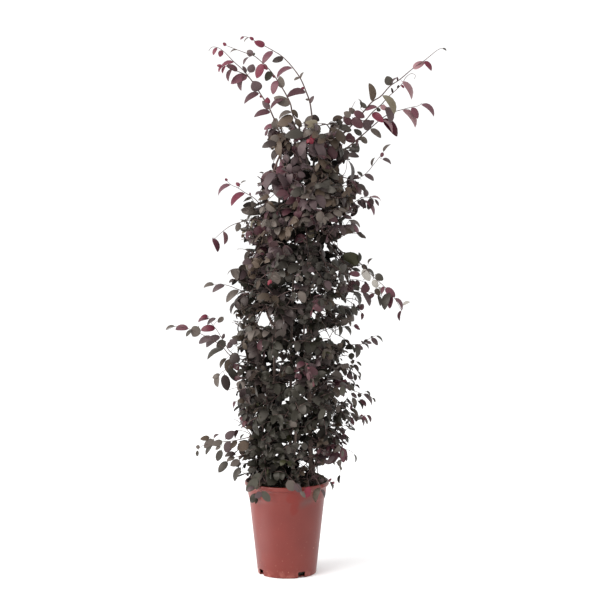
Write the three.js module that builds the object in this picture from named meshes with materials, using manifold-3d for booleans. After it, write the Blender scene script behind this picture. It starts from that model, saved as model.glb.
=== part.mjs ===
// A potted Chinese fringe flower: a slim, purple-leaved shrub trained as a tall column,
// with long arching shoots at its head, in a terracotta-coloured nursery pot.
// Millimetres, +Z up. The origin is the centre of the pot's flat underside.

import * as THREE from 'three';
import { mergeVertices } from 'three/addons/utils/BufferGeometryUtils.js';
import Module from 'manifold-3d';

const wasm = await Module();
wasm.setup();

// Driving dimensions: the pot

const POT_HEIGHT = 222;
const RIM_RADIUS = 100;
const BASE_RADIUS = 69.6;
const SHOULDER_RADIUS = 89.3;   // wall just below the collar
const COLLAR_RADIUS = 92;       // collar's lower edge
const THROAT_RADIUS = 94.3;     // collar just below the lip
const COLLAR_DEPTH = 40;        // from the rim down to the collar's lower edge
const LIP_DEPTH = 11;
const WALL = 2;
const FLOOR = 3;
const BASE_CHAMFER = 2;
const POT_SIDES = 32;
const NOTCHES = 4;
const NOTCH_AZIMUTH = -60;      // degrees, of the first drainage notch
const NOTCH_WIDTH = 19;
const NOTCH_HEIGHT = 11;
const NOTCH_DEPTH = 9;

// Driving dimensions: the soil, heaped towards the main stem

const SOIL_LEVEL = 202;
const HEAP = { x: 60, y: 10, rise: 36, spread: 30 };
const SOIL_CORNER = 13;         // the compost doesn't fill the pot's bottom corner
const SOIL_RINGS = 4;
const SOIL_SIDES = 24;
const SEAT_DEPTH = 1.5;         // how far a stem's flat foot is let into the soil
const GAP = 0.3;                // clearance between touching pieces
const CLEAR = 0.25;             // what a twig or leaf keeps from every other piece at least
const TOLERANCES = [0.15, 0.12, 0.18, 0.1, 0.2, 0.08];   // how far joined faces may move
const MERGE = 1e-3;             // vertices nearer than this are one

// Driving dimensions: leaves and twigs

const LEAF = { length: 64, width: 39, thickness: 2.4, widest: 0.48 };
const SHOOT_LEAF = { length: 45, width: 24, thickness: 2, widest: 0.45 };
const LEAF_SPACING = 17;
const STEM_SPACING = 22;
const SHOOT_LEAF_SPACING = 21;
const STEM_RADIUS = { from: 3.4, to: 2.4 };
const TWIG_RADIUS = { from: 2, to: 1.5 };
const SHOOT_RADIUS = { from: 2.4, to: 1.3 };
const SPACE_MARGIN = 1;         // kept inside each face of a mass's own space
const OVERHANG = 18;            // how far leaves stand out of the crown's smooth outline
const HEAD_DEPTH = 30;          // below the crown's top, where leaves are free of it

// The crown's outline: height, where its middle lies along X, and its radius

const CROWN = [
  { z: 215, x: -12, radius: 84 },
  { z: 310, x: 12, radius: 122 },
  { z: 460, x: 15, radius: 140 },
  { z: 585, x: 14, radius: 126 },
  { z: 680, x: 27, radius: 144 },
  { z: 765, x: 28, radius: 132 },
  { z: 830, x: 24, radius: 119 },
  { z: 890, x: 46, radius: 116 },
  { z: 965, x: 47, radius: 104 },
  { z: 1065, x: 60, radius: 76 },
];

// Tiers of foliage from the bottom up, each of three sectors. The edge between two tiers
// slopes down outwards, so that the upper one overhangs the lower.

const TIERS = [204, 392, 560, 728, 896, 1066];
const TIER_SLOPE = { middle: 46, fall: 0.62 };
const SECTOR = 120;

const COLOURS = {
  pot: '#94503f',
  soil: '#2a221c',
  bark: '#5a4740',
  leaf: '#4a4046',
  newLeaf: '#6d4a58',
};

const UP = new THREE.Vector3(0, 0, 1);
const vec = (x, y, z) => new THREE.Vector3(x, y, z);
const radians = (degrees) => THREE.MathUtils.degToRad(degrees);

// Seeded draws between 0 and 1, the same in every run

function seededDraws(seed) {
  let state = seed >>> 0;
  return () => {
    state = (state + 0x6d2b79f5) >>> 0;
    let mixed = Math.imul(state ^ (state >>> 15), state | 1);
    mixed ^= mixed + Math.imul(mixed ^ (mixed >>> 7), mixed | 61);
    return ((mixed ^ (mixed >>> 14)) >>> 0) / 4294967296;
  };
}

// Solids: closed meshes in, joined or cut, and back to geometry

function toSolid(geometry) {
  const bare = geometry.clone();
  bare.deleteAttribute('normal');
  bare.deleteAttribute('uv');
  const merged = mergeVertices(bare, MERGE);
  return new wasm.Manifold(new wasm.Mesh({
    numProp: 3,
    vertProperties: new Float32Array(merged.attributes.position.array),
    triVerts: new Uint32Array(merged.index.array),
  }));
}

function largestPiece(solid) {
  const pieces = solid.decompose();
  return pieces.reduce((best, piece) => (piece.volume() > best.volume() ? piece : best));
}

function toGeometry(solid) {
  const mesh = solid.getMesh();
  const geometry = new THREE.BufferGeometry();
  geometry.setAttribute('position', new THREE.BufferAttribute(mesh.vertProperties, 3));
  geometry.setIndex(new THREE.BufferAttribute(mesh.triVerts, 1));
  return geometry;
}

// Whether each edge still has two faces once vertices next to each other are one

function staysClosed(solid) {
  const corners = mergeVertices(toGeometry(solid), MERGE).index.array;
  const faceCounts = new Map();
  for (let corner = 0; corner < corners.length; corner += 1) {
    const next = corner % 3 === 2 ? corner - 2 : corner + 1;
    const ends = [corners[corner], corners[next]];
    const edge = `${Math.min(...ends)} ${Math.max(...ends)}`;
    faceCounts.set(edge, (faceCounts.get(edge) ?? 0) + 1);
  }
  return [...faceCounts.values()].every((count) => count === 2);
}

function closedGeometry(points, faces) {
  const geometry = new THREE.BufferGeometry();
  const flat = points.flatMap((point) => [point.x, point.y, point.z]);
  geometry.setAttribute('position', new THREE.Float32BufferAttribute(flat, 3));
  geometry.setIndex(faces.flat());
  return geometry;
}

// A tapering limb along a curve: rings of a few sides, closed by a flat face at each end

function limbSolid(curve, steps, sides, radiusAt) {
  const frames = curve.computeFrenetFrames(steps, false);
  const points = [];
  const faces = [];
  for (let step = 0; step <= steps; step += 1) {
    const along = step / steps;
    const centre = curve.getPointAt(along);
    const radius = radiusAt(along);
    for (let side = 0; side < sides; side += 1) {
      const turn = (2 * Math.PI * side) / sides;
      points.push(centre.clone()
        .addScaledVector(frames.normals[step], radius * Math.cos(turn))
        .addScaledVector(frames.binormals[step], radius * Math.sin(turn)));
    }
  }
  const ring = (step, side) => step * sides + (side % sides);
  for (let step = 0; step < steps; step += 1) {
    for (let side = 0; side < sides; side += 1) {
      faces.push([ring(step, side), ring(step, side + 1), ring(step + 1, side + 1)]);
      faces.push([ring(step, side), ring(step + 1, side + 1), ring(step + 1, side)]);
    }
  }
  for (let side = 1; side < sides - 1; side += 1) {
    faces.push([ring(0, 0), ring(0, side + 1), ring(0, side)]);
    faces.push([ring(steps, 0), ring(steps, side), ring(steps, side + 1)]);
  }
  return toSolid(closedGeometry(points, faces));
}

const taper = (radius) => (along) => THREE.MathUtils.lerp(radius.from, radius.to, along);

// A leaf's blade: the four corners of its middle, in order round it, and its tip.
// The back edge lies nearer the twig's root than the front edge does.

function bladeOf(base, ahead, direction, normal, size) {
  const facing = normal.clone().addScaledVector(direction, -normal.dot(direction)).normalize();
  const across = facing.clone().cross(direction);
  const turn = across.dot(ahead) < 0 ? -1 : 1;
  const middle = base.clone().addScaledVector(direction, size.length * size.widest);
  const edge = across.multiplyScalar((turn * size.width) / 2);
  const swell = facing.multiplyScalar((-turn * size.thickness) / 2);
  return {
    ring: [
      middle.clone().sub(edge),
      middle.clone().add(swell),
      middle.clone().add(edge),
      middle.clone().sub(swell),
    ],
    tip: base.clone().addScaledVector(direction, size.length),
  };
}

// A three-sided twig, flat side up and keel below, with a leaf sunk into some of its faces:
// the face opens into the leaf's base, so that twig and leaves are one closed surface

const KEEL = 0;
const LEFT = 1;
const RIGHT = 2;

class Twig {
  constructor(curve, steps, radius, roll) {
    this.curve = curve;
    this.steps = steps;
    this.roll = radians(roll);
    this.points = [];
    this.leaves = new Map();
    for (let step = 0; step <= steps; step += 1) {
      const along = step / steps;
      const { right, above } = this.frame(along);
      const reach = THREE.MathUtils.lerp(radius.from, radius.to, along);
      for (const [aside, up] of [[0, -1], [-0.866, 0.5], [0.866, 0.5]]) {
        this.points.push(curve.getPointAt(along)
          .addScaledVector(right, aside * reach)
          .addScaledVector(above, up * reach));
      }
    }
  }

  frame(along) {
    const ahead = this.curve.getTangentAt(along);
    const right = ahead.clone().cross(UP).normalize().applyAxisAngle(ahead, this.roll);
    return { ahead, right, above: right.clone().cross(ahead) };
  }

  // The four corners of a face between two rings, or the end's three with its keel twice
  corners(step, side) {
    if (step === this.steps) return [KEEL, LEFT, RIGHT, KEEL].map((turn) => step * 3 + turn);
    const next = (side + 1) % 3;
    return [step * 3 + side, step * 3 + next, step * 3 + 3 + next, step * 3 + 3 + side];
  }

  // The leaf alone as a solid, to see what it would touch
  leafSolid(step, side, blade) {
    const corners = this.corners(step, side).map((index) => this.points[index]);
    const points = [...corners, ...blade.ring, blade.tip];
    const faces = [...leafFaces([0, 1, 2, 3], 4), [0, 2, 1], [0, 3, 2]];
    return toSolid(closedGeometry(points, faces));
  }

  solid() {
    const points = [...this.points];
    const faces = [[KEEL, RIGHT, LEFT]];
    for (let step = 0; step <= this.steps; step += 1) {
      const sides = step === this.steps ? [KEEL] : [KEEL, LEFT, RIGHT];
      for (const side of sides) {
        const corners = this.corners(step, side);
        const blade = this.leaves.get(step * 3 + side);
        if (blade) {
          faces.push(...leafFaces(corners, points.length));
          points.push(...blade.ring, blade.tip);
        } else {
          faces.push([corners[0], corners[1], corners[2]], [corners[0], corners[2], corners[3]]);
        }
      }
    }
    const whole = faces.filter((face) => new Set(face).size === 3);
    return toSolid(closedGeometry(points, whole));
  }
}

function leafFaces(corners, first) {
  return [0, 1, 2, 3].flatMap((index) => {
    const next = (index + 1) % 4;
    return [
      [corners[index], corners[next], first + index],
      [corners[next], first + next, first + index],
      [first + index, first + next, first + 4],
    ];
  });
}

// The crown's outline at a height, and the mass's own space in it

function crownAt(z) {
  const upper = Math.max(1, CROWN.findIndex((ring) => ring.z > z));
  const above = z > CROWN.at(-1).z ? CROWN.length - 1 : upper;
  const [low, high] = [CROWN[above - 1], CROWN[above]];
  const share = THREE.MathUtils.clamp((z - low.z) / (high.z - low.z), 0, 1);
  return {
    x: THREE.MathUtils.lerp(low.x, high.x, share),
    radius: THREE.MathUtils.lerp(low.radius, high.radius, share),
  };
}

function spaceOf(tier, azimuth) {
  const bottom = TIERS[tier];
  const top = TIERS[tier + 1];
  return { bottom, top, azimuth, centre: crownAt((bottom + top) / 2).x };
}

const tierSlope = (spread) => TIER_SLOPE.middle - TIER_SLOPE.fall * spread;

// A point of a mass: its direction, its share of the tier's height and of the crown's radius

function crownPoint(space, azimuth, share, reach) {
  const level = THREE.MathUtils.lerp(space.bottom, space.top, share);
  const slope = tierSlope(crownAt(level).radius * reach);
  const ring = crownAt(level + slope);
  const turn = radians(azimuth);
  return vec(
    ring.x + Math.cos(turn) * ring.radius * reach,
    Math.sin(turn) * ring.radius * reach,
    level + slope,
  );
}

function insideSpace(space, point) {
  const x = point.x - space.centre;
  const edges = [space.azimuth - SECTOR / 2, space.azimuth + SECTOR / 2].map(radians);
  const beyondFirst = point.y * Math.cos(edges[0]) - x * Math.sin(edges[0]);
  const beforeLast = x * Math.sin(edges[1]) - point.y * Math.cos(edges[1]);
  const ring = crownAt(point.z);
  const spread = Math.hypot(point.x - ring.x, point.y);
  const level = point.z - tierSlope(spread);
  return beyondFirst > SPACE_MARGIN && beforeLast > SPACE_MARGIN
    && level > space.bottom + SPACE_MARGIN && level < space.top - SPACE_MARGIN
    && spread < ring.radius + OVERHANG;
}

const outsideCrown = (point) => {
  const ring = crownAt(point.z);
  return point.z > CROWN.at(-1).z - HEAD_DEPTH
    || Math.hypot(point.x - ring.x, point.y) > ring.radius - OVERHANG;
};

// What has been grown so far: a new twig or leaf keeps clear of every other piece

const grown = [];

function boxesMeet(a, b) {
  return [0, 1, 2].every((axis) => a.min[axis] < b.max[axis] + GAP && b.min[axis] < a.max[axis] + GAP);
}

function isClear(solid) {
  const box = solid.boundingBox();
  return grown.every((other) => !boxesMeet(box, other.box)
    || solid.minGap(other.solid, 2 * GAP) >= CLEAR);
}

const model = new THREE.Group();

function simplified(solid) {
  return TOLERANCES.map((tolerance) => largestPiece(solid.simplify(tolerance))).find(staysClosed);
}

function addPiece(name, whole, colour, roughness) {
  const material = new THREE.MeshStandardMaterial({ color: colour, roughness, metalness: 0 });
  const mesh = new THREE.Mesh(toGeometry(whole), material);
  mesh.name = name;
  model.add(mesh);
  grown.push({ name, solid: whole, box: whole.boundingBox() });
}

// The pot: one shell turned about its axis, with a stepped collar, a flared lip and notches

function potProfile() {
  const collar = POT_HEIGHT - COLLAR_DEPTH;
  const lip = POT_HEIGHT - LIP_DEPTH;
  const outline = [
    [0, 0],
    [BASE_RADIUS - BASE_CHAMFER, 0],
    [BASE_RADIUS, BASE_CHAMFER],
    [SHOULDER_RADIUS, collar - WALL],
    [COLLAR_RADIUS, collar],
    [THROAT_RADIUS, lip],
    [RIM_RADIUS - 0.6, lip + 0.8],
    [RIM_RADIUS, lip + 3],
    [RIM_RADIUS, POT_HEIGHT - 2],
    [RIM_RADIUS - 1.6, POT_HEIGHT],
    [RIM_RADIUS - 4, POT_HEIGHT],
    [THROAT_RADIUS - WALL, lip],
    [COLLAR_RADIUS - WALL, collar + WALL / 2],
    [SHOULDER_RADIUS - WALL, collar - WALL],
    [BASE_RADIUS - WALL - 0.3, FLOOR + BASE_CHAMFER],
    [BASE_RADIUS - WALL - BASE_CHAMFER, FLOOR],
    [0, FLOOR],
  ];
  return outline.map(([radius, height]) => new THREE.Vector2(radius, height));
}

function turned(profile, sides) {
  return new THREE.LatheGeometry(profile, sides).rotateX(Math.PI / 2);
}

function potSolid() {
  let solid = toSolid(turned(potProfile(), POT_SIDES));
  for (let notch = 0; notch < NOTCHES; notch += 1) {
    const cutter = new THREE.BoxGeometry(2 * NOTCH_DEPTH, NOTCH_WIDTH, 2 * NOTCH_HEIGHT);
    cutter.translate(BASE_RADIUS, 0, 0);
    cutter.rotateZ(radians(NOTCH_AZIMUTH + (360 / NOTCHES) * notch));
    solid = solid.subtract(toSolid(cutter));
  }
  return solid;
}

// The soil: it fills the pot, heaped towards the main stem, with a flat seat for each stem

function innerWall(z) {
  const collar = POT_HEIGHT - COLLAR_DEPTH;
  if (z > collar) {
    const share = (z - collar) / (POT_HEIGHT - LIP_DEPTH - collar);
    return THREE.MathUtils.lerp(COLLAR_RADIUS, THROAT_RADIUS, share) - WALL;
  }
  return THREE.MathUtils.lerp(BASE_RADIUS, SHOULDER_RADIUS, z / collar) - WALL;
}

function soilHeight(x, y) {
  const away = ((x - HEAP.x) ** 2 + (y - HEAP.y) ** 2) / (2 * HEAP.spread ** 2);
  return SOIL_LEVEL + HEAP.rise * Math.exp(-away);
}

function soilSolid(stems) {
  const collar = POT_HEIGHT - COLLAR_DEPTH;
  const clear = GAP + 0.9;        // the soil's flats and the pot's don't line up
  const profile = [
    new THREE.Vector2(0, FLOOR + GAP),
    new THREE.Vector2(innerWall(0) - SOIL_CORNER, FLOOR + GAP),
    new THREE.Vector2(innerWall(SOIL_CORNER) - clear, FLOOR + SOIL_CORNER),
    new THREE.Vector2(innerWall(collar - 4) - clear - 0.2, collar - 4),
    new THREE.Vector2(innerWall(collar - 4) - clear - 0.2, collar + WALL),
  ];
  const edge = innerWall(SOIL_LEVEL) - clear;
  for (let ring = SOIL_RINGS; ring >= 0; ring -= 1) {
    profile.push(new THREE.Vector2((edge * ring) / SOIL_RINGS, SOIL_LEVEL));
  }
  const geometry = turned(profile, SOIL_SIDES);
  const position = geometry.attributes.position;
  for (let index = 0; index < position.count; index += 1) {
    if (position.getZ(index) > SOIL_LEVEL - 0.01) {
      position.setZ(index, soilHeight(position.getX(index), position.getY(index)));
    }
  }
  let solid = toSolid(geometry);
  for (const stem of stems) {
    const radius = stem.footRadius + 1;
    const seat = new THREE.CylinderGeometry(radius, radius, 60, 16).rotateX(Math.PI / 2);
    seat.translate(stem.foot.x, stem.foot.y, stem.foot.z - GAP + 30);
    solid = solid.subtract(toSolid(seat));
  }
  return solid;
}

// Stems: each rises from a flat foot on the soil, leans and bows, and tapers to its tip

const STEMS = [
  { name: 'trunk', at: [58, -6], tip: [66, 0, 1030], bow: [-10, 6],
    radius: 5.6, end: 2.4, flare: 1.9, sides: 8 },
  { name: 'stem_left', at: [-33, -10], tip: [-12, 0, 1028], bow: [-4, -6],
    radius: 4.4, end: 2.2, flare: 1.5, sides: 6 },
  { name: 'stem_back', at: [8, 44], tip: [26, 34, 925], bow: [-6, 14],
    radius: 4.2, end: 2.2, flare: 1.5, sides: 6 },
  { name: 'stem_front', at: [12, -42], tip: [42, -38, 600], bow: [-2, -12],
    radius: 4, end: 2.2, flare: 1.5, sides: 6 },
];
const FLARE_HEIGHT = 16;
const STEM_STEPS = 8;

function stemPlan(stem) {
  const [x, y] = stem.at;
  const foot = vec(x, y, soilHeight(x, y) - SEAT_DEPTH);
  const tip = vec(...stem.tip);
  const points = [];
  for (let step = 0; step <= 6; step += 1) {
    const along = step / 6;
    const point = foot.clone().lerp(tip, along);
    const bulge = Math.sin(Math.PI * along);
    points.push(vec(point.x + stem.bow[0] * bulge, point.y + stem.bow[1] * bulge, point.z));
  }
  points.splice(1, 0, vec(x, y, foot.z + FLARE_HEIGHT));
  const curve = new THREE.CatmullRomCurve3(points);
  const length = curve.getLength();
  const radiusAt = (along) => {
    const flare = (stem.flare - 1) * Math.exp(-((along * length) / FLARE_HEIGHT) * 1.6);
    return THREE.MathUtils.lerp(stem.radius, stem.end, along) * (1 + flare);
  };
  return { ...stem, foot, curve, radiusAt, footRadius: stem.radius * stem.flare };
}

const stemPlans = STEMS.map(stemPlan);

// Height on a stem's curve

function alongStem(stem, z) {
  const span = stem.curve.getPointAt(1).z - stem.foot.z;
  return THREE.MathUtils.clamp((z - stem.foot.z) / span, 0, 1);
}

// Boughs: each leaves its stem at a height, sweeps outwards and rises into its mass

const BOUGH_RADIUS = { from: 3.8, to: 2.9 };
const BOUGH_SIDES = 5;
const BOUGH_STEPS = 2;

function boughPlan({ stem: stemName, z, azimuth, reach, rise }) {
  const stem = stemPlans.find((plan) => plan.name === stemName);
  const start = stem.curve.getPointAt(alongStem(stem, z));
  const turn = radians(azimuth);
  const out = vec(Math.cos(turn), Math.sin(turn), 0);
  const bend = start.clone().addScaledVector(out, reach * 0.6).addScaledVector(UP, rise * 0.35);
  const tip = start.clone().addScaledVector(out, reach).addScaledVector(UP, rise);
  return { stem, curve: new THREE.QuadraticBezierCurve3(start, bend, tip) };
}

// Masses of foliage. Each has its limb, its tier and the middle of its sector, and the
// long shoots that reach out of the crown, each by its points out to its last leaf's tip.

const MASSES = [
  { name: 'foliage_1_right', tier: 0, azimuth: -30,
    bough: { stem: 'trunk', z: 250, azimuth: -20, reach: 16, rise: 26 },
    shoots: [
      [[88, -10, 336], [118, -16, 330], [148, -22, 304], [164, -24, 268]],
      [[92, 0, 350], [122, 4, 378], [152, 6, 382], [198, 8, 362]],
    ] },
  { name: 'foliage_1_back', tier: 0, azimuth: 90,
    bough: { stem: 'stem_back', z: 246, azimuth: 90, reach: 16, rise: 28 },
    shoots: [[[0, 70, 330], [-20, 120, 350], [-44, 166, 330]]] },
  { name: 'foliage_1_left', tier: 0, azimuth: 210,
    bough: { stem: 'stem_left', z: 246, azimuth: 212, reach: 18, rise: 26 },
    shoots: [
      [[-70, -40, 330], [-115, -46, 336], [-166, -50, 332], [-214, -52, 300]],
      [[-64, -56, 310], [-110, -62, 292], [-150, -66, 268], [-176, -70, 236]],
      [[-44, -72, 290], [-50, -102, 270], [-56, -124, 236], [-46, -128, 190]],
    ] },
  { name: 'foliage_2_left', tier: 1, azimuth: 150,
    bough: { stem: 'stem_left', z: 420, azimuth: 165, reach: 20, rise: 30 },
    shoots: [
      [[-70, -4, 500], [-130, -8, 522], [-186, -12, 566], [-232, -14, 588], [-286, -16, 580]],
      [[-70, 14, 510], [-134, 18, 540], [-170, 18, 582], [-204, 18, 614]],
      [[-78, -12, 480], [-120, -20, 492], [-174, -26, 470]],
    ] },
  { name: 'foliage_2_front', tier: 1, azimuth: 270,
    bough: { stem: 'stem_front', z: 425, azimuth: 265, reach: 18, rise: 28 },
    shoots: [[[40, -90, 500], [44, -138, 520], [52, -178, 492]]] },
  { name: 'foliage_2_right', tier: 1, azimuth: 30,
    bough: { stem: 'trunk', z: 415, azimuth: 30, reach: 22, rise: 34 },
    shoots: [
      [[90, 10, 500], [130, 12, 540], [179, 10, 552], [227, 8, 556]],
      [[90, -8, 450], [118, -12, 446], [151, -14, 434], [212, -14, 410]],
      [[80, 80, 500], [104, 124, 520], [128, 164, 500]],
    ] },
  { name: 'foliage_3_right', tier: 2, azimuth: -30,
    limb: 'stem_front',
    shoots: [
      [[100, -10, 650], [150, -16, 700], [196, -20, 690]],
      [[60, -80, 650], [64, -140, 664], [56, -184, 634]],
    ] },
  { name: 'foliage_3_back', tier: 2, azimuth: 90,
    bough: { stem: 'stem_back', z: 588, azimuth: 92, reach: 18, rise: 30 },
    shoots: [[[-10, 90, 660], [-36, 136, 690], [-62, 176, 676]]] },
  { name: 'foliage_3_left', tier: 2, azimuth: 210,
    bough: { stem: 'stem_left', z: 590, azimuth: 205, reach: 20, rise: 30 },
    shoots: [[[-50, -30, 660], [-115, -34, 684], [-150, -36, 690], [-198, -38, 682]]] },
  { name: 'foliage_4_left', tier: 3, azimuth: 150,
    bough: { stem: 'stem_left', z: 752, azimuth: 165, reach: 20, rise: 32 },
    shoots: [
      [[-50, 6, 850], [-79, 10, 892], [-126, 14, 922], [-160, 14, 906]],
      [[-50, -10, 820], [-105, -14, 838], [-150, -18, 812], [-164, -20, 762]],
    ] },
  { name: 'foliage_4_front', tier: 3, azimuth: 270,
    bough: { stem: 'trunk', z: 748, azimuth: 262, reach: 30, rise: 34 },
    shoots: [[[60, -80, 850], [76, -126, 866], [92, -160, 842]]] },
  { name: 'foliage_4_right', tier: 3, azimuth: 30,
    bough: { stem: 'trunk', z: 752, azimuth: 28, reach: 20, rise: 32 },
    shoots: [
      [[90, -20, 800], [150, -30, 768], [200, -40, 712], [250, -46, 656], [268, -46, 612]],
      [[90, 30, 850], [149, 30, 874], [184, 28, 892], [222, 24, 880]],
      [[60, 90, 830], [74, 134, 850], [92, 164, 828]],
    ] },
  { name: 'foliage_5_right', tier: 4, azimuth: -30,
    bough: { stem: 'trunk', z: 918, azimuth: -36, reach: 20, rise: 26 },
    shoots: [[[108, -26, 945], [160, -22, 936], [208, -14, 976], [236, -6, 1018]]] },
  { name: 'foliage_5_back', tier: 4, azimuth: 90,
    limb: 'stem_back',
    shoots: [[[20, 80, 990], [6, 116, 1030], [-14, 146, 1040]]] },
  { name: 'foliage_5_left', tier: 4, azimuth: 210,
    bough: { stem: 'stem_left', z: 905, azimuth: 225, reach: 20, rise: 30 },
    shoots: [[[20, -80, 980], [12, -118, 1010], [2, -144, 1000]]] },
];

// Long shoots at the head: a bare bough first where the stem is deep in the crown, then one
// leafy shoot with its side shoots. A path's first point is its limb's end, wherever that is.

const HEAD_SHOOTS = [
  { name: 'shoot_top_left_1', limb: 'trunk',
    paths: [
      [[66, 0, 1030], [52, 8, 1110], [34, 16, 1170], [-7, 25, 1222], [-60, 34, 1252], [-110, 40, 1266]],
    ] },
  { name: 'shoot_top_left_2', bough: { stem: 'trunk', z: 940, azimuth: 204, reach: 34, rise: 104 },
    paths: [
      [[0, 0, 0], [8, -20, 1100], [-10, -28, 1146], [-50, -34, 1200], [-96, -40, 1228], [-140, -44, 1243]],
    ] },
  { name: 'shoot_top_left_3', limb: 'stem_left',
    paths: [
      [[-14, 0, 1028], [-30, 4, 1080], [-53, 6, 1130], [-95, 10, 1180], [-140, 12, 1222], [-182, 14, 1236]],
      [[-60, 6, 1140], [-96, -6, 1166], [-128, -20, 1190], [-164, -34, 1186]],
    ] },
  { name: 'shoot_top_right_1', bough: { stem: 'trunk', z: 958, azimuth: 10, reach: 60, rise: 66 },
    paths: [
      [[0, 0, 0], [154, 14, 1058], [194, 10, 1112], [256, -2, 1166], [308, -14, 1208], [362, -24, 1232]],
      [[176, 12, 1085], [210, 20, 1128], [236, 26, 1162], [276, 34, 1160]],
    ] },
  { name: 'shoot_top_right_2', bough: { stem: 'trunk', z: 878, azimuth: 50, reach: 58, rise: 92 },
    paths: [[[0, 0, 0], [142, 40, 1008], [190, 46, 1042], [252, 50, 1090], [322, 54, 1118]]] },
];

// Where a mass's twigs aim: share of its height, and shares of its sector either side

const AIMS = [
  { row: 0.1, columns: [-0.3, 0.02, 0.3], hang: 0.1 },
  { row: 0.5, columns: [-0.38, 0.38], hang: 0.4 },
  { row: 0.75, columns: [-0.12, 0.2], hang: 0.5 },
  { row: 0.95, columns: [-0.4], hang: 0.45 },
];

// How leaves sit on the crown's twigs and on its long shoots: how far they hang, how much
// of their upper side they turn outwards, and the ways to turn on the twig, tried in order,
// each as onwards, aside and upwards

const CROWN_HABIT = {
  size: LEAF,
  hang: 0.55,
  outwards: 0.7,
  turns: [[0.3, 0.8, 0], [0.6, 0.7, 0.2], [0.3, 0.5, -0.5], [0.2, 0.9, 0.55], [0.5, 0.6, 1.3],
    [-0.3, 0.8, -0.2], [0.9, 0.4, 0.3]],
};
const SHOOT_HABIT = {
  size: SHOOT_LEAF,
  hang: 0.25,
  outwards: 0,
  turns: [[0.55, 1, 0], [0.9, 0.7, 0.1], [0.2, 1, -0.2], [0.6, 0.6, -0.6], [0.6, 0.6, 0.6]],
};
const SHOOT_ROLL = 55;            // degrees that a long shoot's two ranks are turned by
const SHOOT_ROLL_JITTER = 20;
const TWIST = 0.35;
const SWAY = 0.15;
const LEAST_LEAF = 100;           // a leaf folded flat on its twig has less volume than this
const CROSSING = 1e-3;

const STRAIGHT_START = 18;        // a head shoot runs on straight from its limb this far

// How twigs leave a mass's stem

const STEM_BEND = 22;
const CREST = { share: 0.84, reach: 0.62 };
const TWIG_ROOTS = { from: 0.2, to: 0.98 };
const TWIG_LIFT = 12;
const TWIG_LIFT_JITTER = 8;
const AIM_REACH = 0.84;
const AIM_JITTER = { column: 0.07, row: 0.05, reach: 0.06 };
const HIGHEST_AIM = 0.97;

// Growing: a stem, twigs from it to points under the crown's surface, leaves in two ranks

class Growth {
  constructor(seed, space) {
    this.draw = seededDraws(seed);
    this.space = space;
    this.twigs = [];
    this.taken = [];
  }

  jitter(amount) {
    return (this.draw() * 2 - 1) * amount;
  }

  owns(point) {
    return insideSpace(this.space, point) || outsideCrown(point);
  }

  addTwig(curve, steps, radius, own, roll = 0) {
    if (own && !curve.getSpacedPoints(steps).every(own)) return null;
    const twig = new Twig(curve, steps, radius, roll);
    const solid = twig.solid();
    if (!isClear(solid)) return null;
    this.twigs.push(twig);
    this.taken.push({ twig, solid, box: solid.boundingBox() });
    return twig;
  }

  // A leaf keeps to its space and crosses nothing of its own mass but the twig that bears it
  addLeaf(twig, step, side, blade, own) {
    if (![...blade.ring, blade.tip].every(own)) return false;
    const solid = twig.leafSolid(step, side, blade);
    if (solid.volume() < LEAST_LEAF) return false;
    const box = solid.boundingBox();
    const crosses = this.taken.some((other) => other.twig !== twig && boxesMeet(box, other.box)
      && solid.intersect(other.solid).volume() > CROSSING);
    if (crosses || !isClear(solid)) return false;
    this.taken.push({ solid, box });
    twig.leaves.set(step * 3 + side, blade);
    return true;
  }

  dressAll(bearing) {
    for (const { twig, first, habit, owns } of bearing.filter(Boolean)) {
      this.dress(twig, first, habit, owns);
    }
  }

  // Leaves alternate along a twig, hang a little, and show their upper side outwards
  dress(twig, first, { size, hang, turns, outwards }, own) {
    this.addEndLeaf(twig, size, hang, own);
    for (let step = first; step < twig.steps; step += 1) {
      const along = (step + 0.5) / twig.steps;
      const base = twig.curve.getPointAt(along);
      const { ahead, right, above } = twig.frame(along);
      const ring = crownAt(base.z);
      const outward = vec(base.x - ring.x, base.y, 0).normalize();
      const normal = above.clone().multiplyScalar(1 - outwards).addScaledVector(outward, outwards);
      normal.add(vec(this.jitter(TWIST), this.jitter(TWIST), this.jitter(TWIST)));
      const leftFirst = (step - first) % 2 === 0;
      [leftFirst, !leftFirst].some((left) => turns.some(([onward, aside, rise]) => {
        const direction = ahead.clone().multiplyScalar(onward)
          .addScaledVector(right, left ? -aside : aside)
          .addScaledVector(UP, rise - hang + this.jitter(SWAY))
          .normalize();
        const blade = bladeOf(base, ahead, direction, normal, size);
        return this.addLeaf(twig, step, left ? KEEL : RIGHT, blade, own);
      }));
    }
  }

  addEndLeaf(twig, size, hang, own) {
    const { ahead, right, above } = twig.frame(1);
    const direction = ahead.clone().addScaledVector(UP, -hang * 0.5).normalize();
    const blade = bladeOf(twig.curve.getPointAt(1), right, direction, above, size);
    return this.addLeaf(twig, twig.steps, KEEL, blade, own);
  }

  result() {
    return wasm.Manifold.union(this.twigs.map((twig) => twig.solid()));
  }
}

function limbEnd(curve) {
  const ahead = curve.getTangentAt(1);
  return { point: curve.getPointAt(1).addScaledVector(ahead, GAP), ahead };
}

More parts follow.
